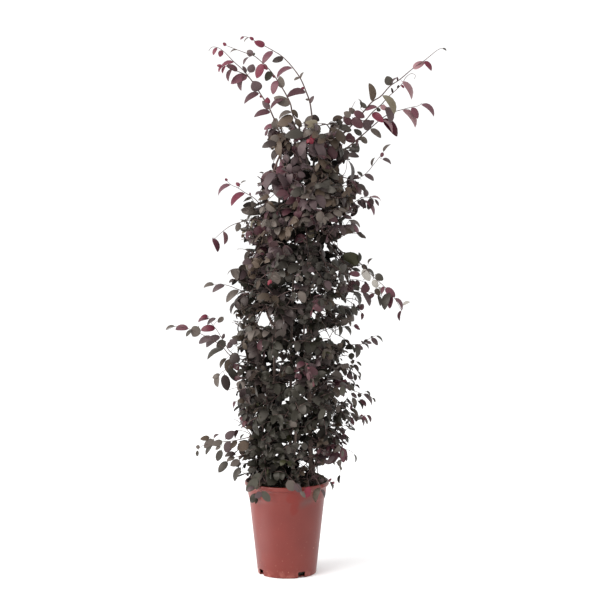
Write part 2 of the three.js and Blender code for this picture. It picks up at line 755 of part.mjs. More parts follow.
function growMass(mass, limbCurve, seed) {
  const space = spaceOf(mass.tier, mass.azimuth);
  const growth = new Growth(seed, space);
  const own = (point) => insideSpace(space, point);
  const owns = (point) => growth.owns(point);
  const start = limbEnd(limbCurve);
  const crest = crownPoint(space, mass.azimuth, CREST.share, CREST.reach);
  const bend = start.point.clone().addScaledVector(start.ahead, STEM_BEND);
  const stem = new THREE.QuadraticBezierCurve3(start.point, bend, crest);
  const rising = growth.addTwig(stem, Math.round(stem.getLength() / STEM_SPACING), STEM_RADIUS);
  const bearing = [{ twig: rising, first: 2, habit: CROWN_HABIT, owns: own }];
  const aims = AIMS.flatMap(({ columns, ...aim }) => columns.map((column) => ({ ...aim, column })));
  aims.forEach((aim, index) => {
    const from = stem.getPointAt(
      THREE.MathUtils.lerp(TWIG_ROOTS.from, TWIG_ROOTS.to, index / (aims.length - 1)),
    );
    const curve = twigCurve(growth, mass.azimuth, from, aim);
    const steps = Math.max(2, Math.round(curve.getLength() / LEAF_SPACING));
    const twig = growth.addTwig(curve, steps, TWIG_RADIUS, own);
    if (twig) bearing.push({ twig, first: 1, habit: { ...CROWN_HABIT, hang: aim.hang }, owns: own });
  });
  for (const path of mass.shoots) {
    bearing.push(addShoot(growth, stem, path, owns));
  }
  growth.dressAll(bearing);
  return growth;
}

function twigCurve(growth, middleAzimuth, from, { row, column }) {
  const azimuth = middleAzimuth + (column + growth.jitter(AIM_JITTER.column)) * SECTOR;
  const share = Math.min(row + growth.jitter(AIM_JITTER.row), HIGHEST_AIM);
  const reach = AIM_REACH + growth.jitter(AIM_JITTER.reach);
  const tip = crownPoint(growth.space, azimuth, share, reach);
  const lift = TWIG_LIFT + growth.jitter(TWIG_LIFT_JITTER);
  const middle = from.clone().lerp(tip, 0.5).addScaledVector(UP, lift);
  return new THREE.QuadraticBezierCurve3(from, middle, tip);
}

// A curve that stops short of another's end, to leave room for the last leaf

class ShortenedCurve extends THREE.Curve {
  constructor(whole, room) {
    super();
    this.whole = whole;
    this.share = 1 - room / whole.getLength();
  }

  getPoint(along) {
    return this.whole.getPointAt(along * this.share);
  }
}

// A long shoot starts on the mass's stem, or on the shoot before it, where that is nearest

function nearestAlong(curve, point) {
  let best = { along: 0, away: Infinity };
  for (let step = 0; step <= 24; step += 1) {
    const along = step / 24;
    const away = curve.getPointAt(along).distanceTo(point);
    if (away < best.away) best = { along, away };
  }
  return best.along;
}

function addShoot(growth, parent, path, owns) {
  const points = path.map((point) => vec(...point));
  points.unshift(parent.getPointAt(nearestAlong(parent, points[0])));
  const whole = new THREE.CatmullRomCurve3(points, false, 'centripetal');
  const bare = new ShortenedCurve(whole, SHOOT_LEAF.length);
  const steps = Math.round(bare.getLength() / SHOOT_LEAF_SPACING);
  const roll = SHOOT_ROLL + growth.jitter(SHOOT_ROLL_JITTER);
  const twig = growth.addTwig(bare, steps, SHOOT_RADIUS, null, roll);
  return twig && { twig, first: 2, habit: SHOOT_HABIT, owns };
}

function growHeadShoot(shoot, limbCurve, seed) {
  const growth = new Growth(seed, spaceOf(TIERS.length - 2, 0));
  const start = limbEnd(limbCurve);
  const owns = () => true;
  const [main, ...sides] = shoot.paths;
  const points = main.slice(1).map((point) => vec(...point));
  points.unshift(start.point, start.point.clone().addScaledVector(start.ahead, STRAIGHT_START));
  const whole = new THREE.CatmullRomCurve3(points, false, 'centripetal');
  const stem = new ShortenedCurve(whole, SHOOT_LEAF.length);
  const steps = Math.round(stem.getLength() / SHOOT_LEAF_SPACING);
  const twig = growth.addTwig(stem, steps, SHOOT_RADIUS, null, SHOOT_ROLL);
  const bearing = [{ twig, first: 1, habit: SHOOT_HABIT, owns }];
  for (const path of sides) {
    bearing.push(addShoot(growth, stem, path, owns));
  }
  growth.dressAll(bearing);
  return growth;
}

// Assembly, from the pot up: pot, soil, stems, boughs, then the foliage

addPiece('pot', simplified(potSolid()), COLOURS.pot, 0.45);
addPiece('soil', simplified(soilSolid(stemPlans)), COLOURS.soil, 0.95);
for (const stem of stemPlans) {
  const solid = limbSolid(stem.curve, STEM_STEPS, stem.sides, stem.radiusAt);
  addPiece(stem.name, simplified(solid), COLOURS.bark, 0.85);
}

const FIRST_SEED = 101;
const FOLIAGE = [...HEAD_SHOOTS, ...MASSES];
const limbCurves = new Map(stemPlans.map((stem) => [stem.name, stem.curve]));

for (const mass of FOLIAGE.filter((plan) => plan.bough)) {
  const bough = boughPlan(mass.bough);
  const { stem } = bough;
  const around = (along) => stem.radiusAt(along) + 1.1 * GAP;
  const cutter = limbSolid(stem.curve, STEM_STEPS, stem.sides, around);
  const whole = limbSolid(bough.curve, BOUGH_STEPS, BOUGH_SIDES, taper(BOUGH_RADIUS));
  const name = mass.name.replace('foliage', 'bough').replace('shoot', 'bough');
  addPiece(name, simplified(whole.subtract(cutter)), COLOURS.bark, 0.85);
  limbCurves.set(mass.name, bough.curve);
}

FOLIAGE.forEach((mass, index) => {
  const limb = limbCurves.get(mass.limb ?? mass.name);
  const grow = mass.paths ? growHeadShoot : growMass;
  let solid = null;
  for (let seed = FIRST_SEED + index; !solid; seed += FOLIAGE.length) {
    solid = simplified(grow(mass, limb, seed).result());
  }
  addPiece(mass.name, solid, mass.paths ? COLOURS.newLeaf : COLOURS.leaf, 0.6);
});

export default model;
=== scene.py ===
# A potted Chinese fringe flower: a slim, purple-leaved shrub trained as a tall column,
# with long arching shoots at its head, in a terracotta-coloured nursery pot.
# Lengths in the tables are millimetres; every object is in metres, +Z up, with the origin
# at the centre of the pot's flat underside.

import math
from collections import namedtuple

import bmesh
import bpy
import numpy as np
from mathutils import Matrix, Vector, noise


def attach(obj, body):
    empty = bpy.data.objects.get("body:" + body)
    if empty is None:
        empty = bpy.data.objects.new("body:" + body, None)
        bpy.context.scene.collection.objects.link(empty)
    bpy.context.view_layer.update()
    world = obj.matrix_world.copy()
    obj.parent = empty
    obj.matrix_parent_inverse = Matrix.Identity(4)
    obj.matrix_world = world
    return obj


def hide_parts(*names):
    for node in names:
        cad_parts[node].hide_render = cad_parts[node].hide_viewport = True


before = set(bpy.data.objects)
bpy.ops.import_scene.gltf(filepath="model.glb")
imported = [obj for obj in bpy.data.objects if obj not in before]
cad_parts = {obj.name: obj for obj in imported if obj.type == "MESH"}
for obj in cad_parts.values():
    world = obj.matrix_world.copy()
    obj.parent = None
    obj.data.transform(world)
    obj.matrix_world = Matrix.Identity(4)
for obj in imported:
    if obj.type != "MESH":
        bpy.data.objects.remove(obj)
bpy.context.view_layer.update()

MM = 0.001
UP = np.array([0.0, 0.0, 1.0])

# Pot and soil

POT_HEIGHT = 222
RIM_RADIUS = 100
BASE_RADIUS = 69.6
SHOULDER_RADIUS = 89.3
COLLAR_RADIUS = 92
THROAT_RADIUS = 94.3
COLLAR_DEPTH = 40
LIP_DEPTH = 11
WALL = 2
FLOOR = 3
BASE_CHAMFER = 2
POT_SIDES = 144
NOTCHES = 4
NOTCH_AZIMUTH = -60
NOTCH_WIDTH = 19
NOTCH_HEIGHT = 15
NOTCH_DEPTH = 9
NOTCH_ROUNDING = 2.5

SOIL_LEVEL = 202
MOUND = {"x": 60, "y": 10, "rise": 36, "spread": 30}
SOIL_CORNER = 13
SOIL_RINGS = 46
SOIL_SIDES = 150
SOIL_ROUGHNESS = 2.6
SEAT_DEPTH = 1.5
GAP = 0.3

# The crown's outline: height, where its middle lies along X, and its radius

CROWN = np.array([
    (215, -12, 84),
    (310, 12, 122),
    (460, 15, 140),
    (585, 14, 126),
    (680, 27, 144),
    (765, 28, 132),
    (830, 24, 119),
    (890, 46, 116),
    (965, 47, 104),
    (1065, 60, 76),
], float)
CROWN_TOP = 1065
OVERHANG = 30

# Tiers of foliage from the bottom up, each of three sectors

TIERS = [204, 392, 560, 728, 896, 1066]
TIER_SLOPE = {"middle": 46, "fall": 0.62}
SECTOR = 120

# Stems: foot, tip, sideways bow, radius at foot and tip, flare of the foot

STEMS = [
    {"name": "trunk", "at": (58, -6), "tip": (66, 0, 1030), "bow": (-10, 6),
     "radius": 5.6, "end": 2.4, "flare": 1.9},
    {"name": "stem_left", "at": (-33, -10), "tip": (-12, 0, 1028), "bow": (-4, -6),
     "radius": 4.4, "end": 2.2, "flare": 1.5},
    {"name": "stem_back", "at": (8, 44), "tip": (26, 34, 925), "bow": (-6, 14),
     "radius": 4.2, "end": 2.2, "flare": 1.5},
    {"name": "stem_front", "at": (12, -42), "tip": (42, -38, 600), "bow": (-2, -12),
     "radius": 4, "end": 2.2, "flare": 1.5},
]
FLARE_HEIGHT = 16
FLARE_FALL = 1.6
BOUGH_RADIUS = (3.8, 2.9)
BOUGH_COLLAR = {"swell": 0.35, "length": 7}
BOUGH_BEND = {"out": 0.6, "up": 0.35}

# Masses of foliage: tier, middle of the sector and limb. A bough is its stem, the height
# where it leaves it, its azimuth, reach and rise. Shoots reach out of the crown, by their
# points out to the last leaf's tip, and so do sprays, by their tip and the colour of young
# leaves on it. Arms are twigs by their points. They bear the placed leaves: X and Z of
# base and tip, the breadth that shows, and colour.

MASSES = [
    {"name": "foliage_1_right", "tier": 0, "azimuth": -30, "scale": 0.76,
     "bough": ("trunk", 250, -20, 16, 26),
     "sprays": [(140, -20, 283), (124, -34, 263), (101, -60, 272),
                (152, -6, 358), (138, -16, 332), (130, -40, 300)],
     "shoots": [[(92, 0, 350), (122, 4, 378), (152, 6, 382), (198, 8, 362)]],
     "arms": [
         [(96, -10, 320), (118, -16, 312), (140, -20, 298), (151, -22, 296), (157, -22, 288)],
         [(126, -16, 305), (127, -18, 270), (126, -18, 238)],
         [(56, -40, 250), (68, -84, 242), (76, -104, 230), (80, -108, 216)],
         [(74, -30, 240), (96, -44, 228), (108, -46, 226), (118, -46, 230)],
         [(48, -60, 246), (50, -92, 238), (52, -107, 228)],
     ],
     "placed": [
         (126, 238, 125, 219, 6, "slate"), (156, 289, 159, 269, 4, "slate"),
         (129, 337, 142, 330, 7, "wine"), (123, 328, 132, 316, 6, "plum"),
         (133, 308, 137, 269, 17, "wine"), (120, 296, 104, 265, 17, "plum"),
         (112, 300, 118, 274, 14, "plum"), (78, 226, 67, 191, 12, "umber"),
         (82, 222, 88, 201, 6, "mauve"), (52, 228, 42, 190, 20, "scarlet"),
         (98, 228, 105, 234, 5, "crimson"), (106, 227, 112, 222, 5, "crimson"),
         (100, 226, 105, 204, 5, "slate"), (88, 236, 76, 224, 9, "mauve"),
     ]},
    {"name": "foliage_1_back", "tier": 0, "azimuth": 90,
     "bough": ("stem_back", 246, 90, 16, 28),
     "shoots": [[(0, 70, 330), (-20, 120, 350), (-44, 166, 330)]]},
    {"name": "foliage_1_left", "tier": 0, "azimuth": 210,
     "bough": ("stem_left", 246, 212, 18, 26),
     "sprays": [(-126, -40, 375), (-118, -30, 345)],
     "arms": [
         [(-64, -44, 339), (-120, -48, 325), (-160, -52, 321), (-200, -54, 312), (-211, -54, 297)],
         [(-60, -56, 309), (-104, -62, 293), (-130, -66, 285)],
         [(-50, -60, 262), (-60, -96, 250), (-62, -110, 226), (-56, -114, 214)],
         [(-10, -50, 262), (2, -96, 252), (18, -110, 238), (32, -114, 218)],
     ],
     "placed": [
         (-207, 303, -210, 288, 7, "slate"), (-201, 309, -212, 312, 9, "ash"),
         (-180, 334, -201, 329, 11, "cocoa"), (-170, 329, -192, 308, 18, "ash"),
         (-171, 331, -159, 341, 5, "mauve"), (-175, 313, -190, 293, 8, "slate"),
         (-148, 319, -175, 319, 14, "ash"), (-154, 313, -166, 303, 7, "ash"),
         (-144, 328, -124, 347, 17, "mauve"), (-132, 323, -144, 298, 19, "mauve"),
         (-152, 304, -163, 277, 14, "slate"), (-137, 279, -159, 255, 15, "slate"),
         (-118, 295, -144, 292, 9, "dusk"), (-120, 287, -140, 281, 9, "ash"),
         (-109, 281, -131, 269, 15, "ash"), (-106, 265, -121, 232, 12, "slate"),
         (-88, 318, -116, 306, 22, "cocoa"), (-116, 327, -130, 307, 11, "umber"),
         (-108, 324, -100, 339, 4, "slate"), (-68, 246, -90, 214, 20, "sage"),
         (-58, 254, -80, 238, 17, "sage"), (-74, 226, -92, 219, 7, "mauve"),
         (-56, 216, -72, 203, 13, "mauve"), (-57, 219, -40, 192, 15, "sage"),
         (3, 242, 16, 217, 20, "ash"), (20, 238, 31, 212, 14, "mauve"),
         (33, 218, 43, 204, 8, "ash"), (-40, 262, -20, 250, 16, "slate"),
     ]},
    {"name": "foliage_2_left", "tier": 1, "azimuth": 150,
     "bough": ("stem_left", 420, 165, 20, 30),
     "sprays": [(-140, -30, 440), (-126, -20, 413), (-99, -40, 370, "garnet")],
     "arms": [
         [(-70, -4, 500), (-135, -8, 522), (-147, -9, 536), (-166, -10, 552), (-187, -12, 564),
          (-202, -13, 572), (-230, -14, 584), (-261, -15, 590), (-280, -16, 582)],
         [(-130, 10, 524), (-151, 14, 554), (-167, 16, 580), (-178, 18, 593), (-186, 18, 611)],
         [(-78, -12, 490), (-120, -18, 500), (-142, -22, 490), (-160, -24, 476)],
     ],
     "placed": [
         (-261, 590, -283, 580, 5, "ash"), (-230, 584, -261, 580, 12, "wine"),
         (-206, 590, -223, 568, 22, "ash"), (-222, 586, -234, 566, 8, "slate"),
         (-168, 583, -202, 576, 14, "crimson"), (-187, 602, -209, 594, 8, "wine"),
         (-188, 615, -204, 609, 8, "crimson"), (-167, 606, -188, 591, 8, "mauve"),
         (-150, 610, -162, 595, 11, "ash"), (-173, 563, -206, 546, 13, "mauve"),
         (-157, 563, -190, 539, 15, "mauve"), (-154, 557, -148, 569, 7, "mauve"),
         (-144, 552, -167, 538, 19, "slate"), (-148, 536, -186, 514, 10, "slate"),
         (-139, 536, -127, 554, 12, "mauve"), (-133, 522, -112, 507, 24, "dusk"),
         (-130, 513, -142, 482, 22, "umber"), (-141, 514, -156, 489, 8, "umber"),
         (-157, 480, -173, 467, 9, "ash"), (-157, 473, -164, 448, 12, "ash"),
         (-147, 479, -144, 439, 19, "dusk"), (-136, 488, -120, 460, 16, "slate"),
         (-116, 546, -134, 556, 12, "mauve"),
     ]},
    {"name": "foliage_2_front", "tier": 1, "azimuth": 270,
     "bough": ("stem_front", 425, 265, 18, 28),
     "sprays": [(62, -132, 476, "garnet"), (88, -108, 540, "olive"), (1, -126, 382, "olive")],
     "shoots": [[(40, -90, 500), (44, -138, 520), (52, -178, 492)]]},
    {"name": "foliage_2_right", "tier": 1, "azimuth": 30, "scale": 0.76,
     "bough": ("trunk", 415, 30, 22, 34),
     "shoots": [[(80, 80, 500), (104, 124, 520), (128, 164, 500)]],
     "arms": [
         [(90, 10, 500), (120, 4, 536), (156, 0, 545), (178, -2, 547), (191, -4, 558), (209, -6, 567)],
         [(90, 0, 505), (140, -4, 520), (152, -6, 512), (164, -8, 506)],
         [(90, -8, 450), (118, -12, 448), (153, -14, 439), (178, -14, 430), (201, -14, 421)],
         [(90, -8, 405), (128, -12, 407), (147, -14, 386), (169, -14, 376), (188, -14, 380)],
         [(90, -8, 480), (130, -8, 494), (156, -10, 499)],
     ],
     "placed": [
         (209, 567, 225, 552, 4, "slate"), (205, 563, 197, 564, 4, "dusk"),
         (198, 560, 214, 545, 10, "mauve"), (190, 559, 181, 551, 7, "dusk"),
         (186, 552, 199, 548, 7, "mauve"), (175, 555, 180, 546, 4, "mauve"),
         (181, 544, 192, 536, 4, "dusk"), (158, 550, 178, 532, 11, "mauve"),
         (162, 542, 166, 515, 12, "slate"), (139, 540, 159, 538, 12, "moss"),
         (136, 557, 147, 544, 6, "moss"), (117, 545, 137, 541, 10, "moss"),
         (152, 527, 153, 511, 13, "moss"), (155, 512, 159, 503, 5, "dusk"),
         (165, 508, 174, 495, 5, "slate"), (157, 499, 169, 484, 8, "dusk"),
         (166, 483, 173, 467, 4, "slate"), (148, 494, 157, 490, 5, "umber"),
         (143, 492, 149, 482, 4, "dusk"), (143, 503, 140, 492, 8, "mauve"),
         (150, 507, 157, 501, 6, "ash"), (141, 477, 156, 465, 11, "mauve"),
         (145, 457, 149, 437, 12, "ash"), (138, 466, 134, 445, 11, "wine"),
         (149, 463, 158, 449, 3, "slate"), (151, 432, 165, 422, 8, "mauve"),
         (154, 422, 162, 399, 10, "ash"), (166, 427, 176, 427, 9, "dusk"),
         (166, 414, 178, 394, 6, "dusk"), (171, 417, 185, 399, 8, "plum"),
         (180, 430, 200, 403, 8, "mauve"), (186, 437, 195, 423, 4, "slate"),
         (201, 421, 208, 410, 4, "slate"), (148, 395, 168, 380, 7, "umber"),
         (149, 382, 159, 377, 7, "slate"), (169, 375, 180, 355, 5, "mauve"),
         (178, 379, 186, 368, 9, "wine"), (188, 379, 196, 362, 6, "plum"),
         (143, 376, 156, 356, 9, "plum"),
     ]},
    {"name": "foliage_3_right", "tier": 2, "azimuth": -30, "scale": 0.88,
     "limb": "stem_front",
     "arms": [[(96, -20, 604), (118, -24, 597), (133, -24, 591)]],
     "placed": [(132, 590, 148, 568, 7, "slate"), (121, 592, 125, 568, 9, "slate")],
     "sprays": [(147, -20, 606), (175, -16, 622),
                (160, -10, 590), (166, -20, 650)],
     "shoots": [
         [(100, -10, 650), (150, -16, 700), (196, -20, 690)],
         [(60, -80, 650), (64, -140, 664), (56, -184, 634)],
     ]},
    {"name": "foliage_3_back", "tier": 2, "azimuth": 90,
     "bough": ("stem_back", 588, 92, 18, 30),
     "shoots": [[(-10, 90, 660), (-36, 136, 690), (-62, 176, 676)]]},
    {"name": "foliage_3_left", "tier": 2, "azimuth": 210,
     "bough": ("stem_left", 590, 205, 20, 30),
     "sprays": [(-126, -30, 726), (-128, -30, 600)],
     "arms": [
         [(-50, -30, 655), (-84, -26, 664), (-110, -22, 676), (-144, -30, 689), (-170, -32, 689)],
         [(-84, -20, 690), (-110, -20, 697), (-122, -20, 701)],
         [(-84, -26, 640), (-104, -24, 646), (-115, -24, 650)],
     ],
     "placed": [
         (-169, 692, -193, 684, 8, "ash"), (-144, 693, -172, 673, 11, "mauve"),
         (-110, 678, -141, 650, 14, "ash"), (-122, 701, -135, 694, 6, "dusk"),
         (-121, 701, -98, 693, 7, "umber"), (-115, 650, -129, 621, 7, "dusk"),
         (-118, 652, -108, 640, 6, "dusk"),
     ]},
    {"name": "foliage_4_left", "tier": 3, "azimuth": 150,
     "bough": ("stem_left", 752, 165, 20, 32),
     "sprays": [(-108, -10, 792), (-118, 6, 770), (-84, -30, 896)],
     "arms": [
         [(-50, 6, 862), (-78, 10, 891), (-97, 12, 902), (-115, 13, 914), (-131, 14, 921),
          (-141, 14, 931)],
         [(-50, -10, 830), (-76, -12, 840), (-109, -14, 834), (-131, -16, 826), (-153, -18, 810),
          (-167, -20, 797)],
     ],
     "placed": [
         (-130, 921, -160, 897, 9, "wine"), (-97, 902, -128, 872, 13, "crimson"),
         (-139, 930, -144, 936, 6, "crimson"), (-110, 918, -119, 926, 8, "crimson"),
         (-108, 924, -95, 929, 3, "ash"), (-86, 895, -86, 903, 4, "wine"),
         (-67, 867, -104, 858, 20, "ash"), (-83, 853, -91, 840, 5, "slate"),
         (-109, 832, -117, 813, 12, "ash"), (-90, 819, -107, 815, 10, "slate"),
         (-151, 818, -146, 784, 9, "rose"), (-174, 798, -164, 765, 11, "wine"),
     ]},
    {"name": "foliage_4_front", "tier": 3, "azimuth": 270,
     "bough": ("trunk", 748, 262, 30, 34),
     "sprays": [(-37, -118, 708, "scarlet")],
     "shoots": [[(60, -80, 850), (76, -126, 866), (92, -160, 842)]]},
    {"name": "foliage_4_right", "tier": 3, "azimuth": 30,
     "bough": ("trunk", 752, 28, 20, 32),
     "sprays": [(166, 0, 806), (168, 10, 916)],
     "shoots": [
         [(90, 30, 850), (149, 30, 874), (184, 28, 892), (222, 24, 880)],
         [(60, 90, 830), (74, 134, 850), (92, 164, 828)],
     ],
     "arms": [
         [(90, -20, 800), (134, -26, 762), (172, -30, 739), (200, -40, 710), (227, -44, 686),
          (250, -46, 660), (267, -46, 631)],
         [(90, -16, 740), (131, -24, 696), (154, -28, 674), (189, -34, 673), (226, -38, 662)],
     ],
     "placed": [
         (169, 737, 134, 761, 27, "olive"), (170, 740, 167, 764, 8, "moss"),
         (175, 739, 187, 725, 10, "moss"), (177, 727, 193, 699, 17, "pale"),
         (184, 725, 201, 702, 6, "slate"), (200, 702, 212, 684, 14, "pale"),
         (190, 737, 199, 751, 4, "ash"), (206, 714, 224, 702, 15, "slate"),
         (172, 712, 146, 714, 12, "wine"), (191, 690, 175, 672, 18, "plum"),
         (178, 671, 193, 641, 12, "mauve"), (205, 671, 190, 658, 9, "plum"),
         (208, 682, 214, 664, 12, "umber"), (212, 686, 219, 664, 6, "pale"),
         (225, 686, 220, 671, 8, "wine"), (231, 686, 250, 661, 15, "wine"),
         (235, 671, 229, 634, 16, "slate"), (243, 662, 241, 635, 12, "wine"),
         (253, 660, 268, 631, 8, "wine"), (268, 631, 264, 607, 6, "plum"),
         (270, 642, 286, 650, 6, "pale"), (211, 662, 216, 641, 9, "slate"),
         (154, 672, 168, 640, 9, "slate"), (153, 689, 168, 676, 8, "slate"),
         (151, 640, 163, 617, 12, "slate"), (140, 690, 128, 668, 14, "mauve"),
         (146, 829, 167, 804, 10, "wine"), (150, 836, 160, 818, 8, "mauve"),
         (181, 885, 203, 849, 9, "wine"), (166, 884, 186, 866, 12, "mauve"),
         (196, 890, 222, 879, 4, "rose"),
     ]},
    {"name": "foliage_5_right", "tier": 4, "azimuth": -30,
     "bough": ("trunk", 918, -36, 20, 26),
     "sprays": [(143, -20, 1046), (161, -10, 1022), (112, -20, 1058),
                (52, -100, 1028, "scarlet")],
     "arms": [
         [(108, -26, 945), (160, -22, 936), (182, -20, 946), (208, -14, 976), (225, -8, 997)],
         [(70, -40, 980), (66, -80, 1020), (54, -94, 1028)],
         [(100, -30, 985), (122, -50, 1006), (134, -52, 1022)],
         [(110, -50, 930), (134, -66, 950), (140, -66, 985)],
         [(80, -60, 930), (94, -100, 942), (72, -112, 925)],
         [(130, -50, 920), (156, -54, 926)],
     ],
     "placed": [
         (66, 1022, 81, 980, 18, "mauve"), (45, 1023, 33, 989, 15, "mauve"),
         (43, 991, 43, 962, 14, "ash"), (102, 1014, 109, 981, 20, "plum"),
         (119, 1003, 96, 1028, 14, "umber"), (134, 1019, 102, 1051, 18, "umber"),
         (70, 1032, 91, 1034, 10, "slate"), (40, 1041, -2, 1033, 20, "slate"),
         (140, 980, 143, 932, 8, "dusk"), (140, 931, 168, 939, 11, "dusk"),
         (163, 924, 183, 907, 10, "dusk"), (155, 923, 168, 898, 10, "plum"),
         (96, 926, 70, 905, 18, "moss"), (89, 949, 60, 939, 15, "umber"),
         (139, 991, 166, 987, 11, "dusk"), (94, 962, 80, 936, 12, "olive"),
         (229, 1000, 241, 1015, 6, "ash"), (225, 996, 219, 986, 8, "wine"),
         (222, 981, 243, 971, 8, "mauve"), (198, 966, 205, 984, 5, "ash"),
         (182, 942, 201, 930, 10, "mauve"), (176, 944, 164, 952, 7, "slate"),
     ]},
    {"name": "foliage_5_back", "tier": 4, "azimuth": 90,
     "limb": "stem_back",
     "shoots": [[(20, 80, 990), (6, 116, 1030), (-14, 146, 1040)]]},
    {"name": "foliage_5_left", "tier": 4, "azimuth": 210,
     "bough": ("stem_left", 905, 225, 20, 30),
     "sprays": [(-46, -20, 1036)],
     "arms": [
         [(0, -40, 985), (-14, -70, 1018), (-18, -74, 1034)],
         [(-6, -56, 940), (-22, -94, 950), (-34, -96, 944)],
         [(20, -60, 940), (24, -104, 948), (14, -112, 905)],
     ],
     "placed": [
         (-12, 1030, -36, 1028, 16, "ash"), (-21, 1020, -53, 1006, 15, "dusk"),
         (-21, 1004, -32, 980, 10, "dusk"), (-14, 1025, -16, 989, 15, "cocoa"),
         (-24, 949, -49, 915, 15, "mauve"), (-21, 950, -1, 905, 14, "mauve"),
         (-35, 952, -58, 936, 15, "plum"), (-34, 934, -55, 923, 10, "plum"),
         (4, 950, 30, 920, 24, "plum"), (7, 939, 6, 908, 7, "claret"),
         (24, 952, 43, 944, 13, "mauve"), (7, 900, 43, 911, 18, "slate"),
         (30, 894, 66, 889, 11, "ash"),
     ]},
]

# Long shoots at the head. The first path goes on from its limb's end, and a side path
# starts on the first where that is nearest.

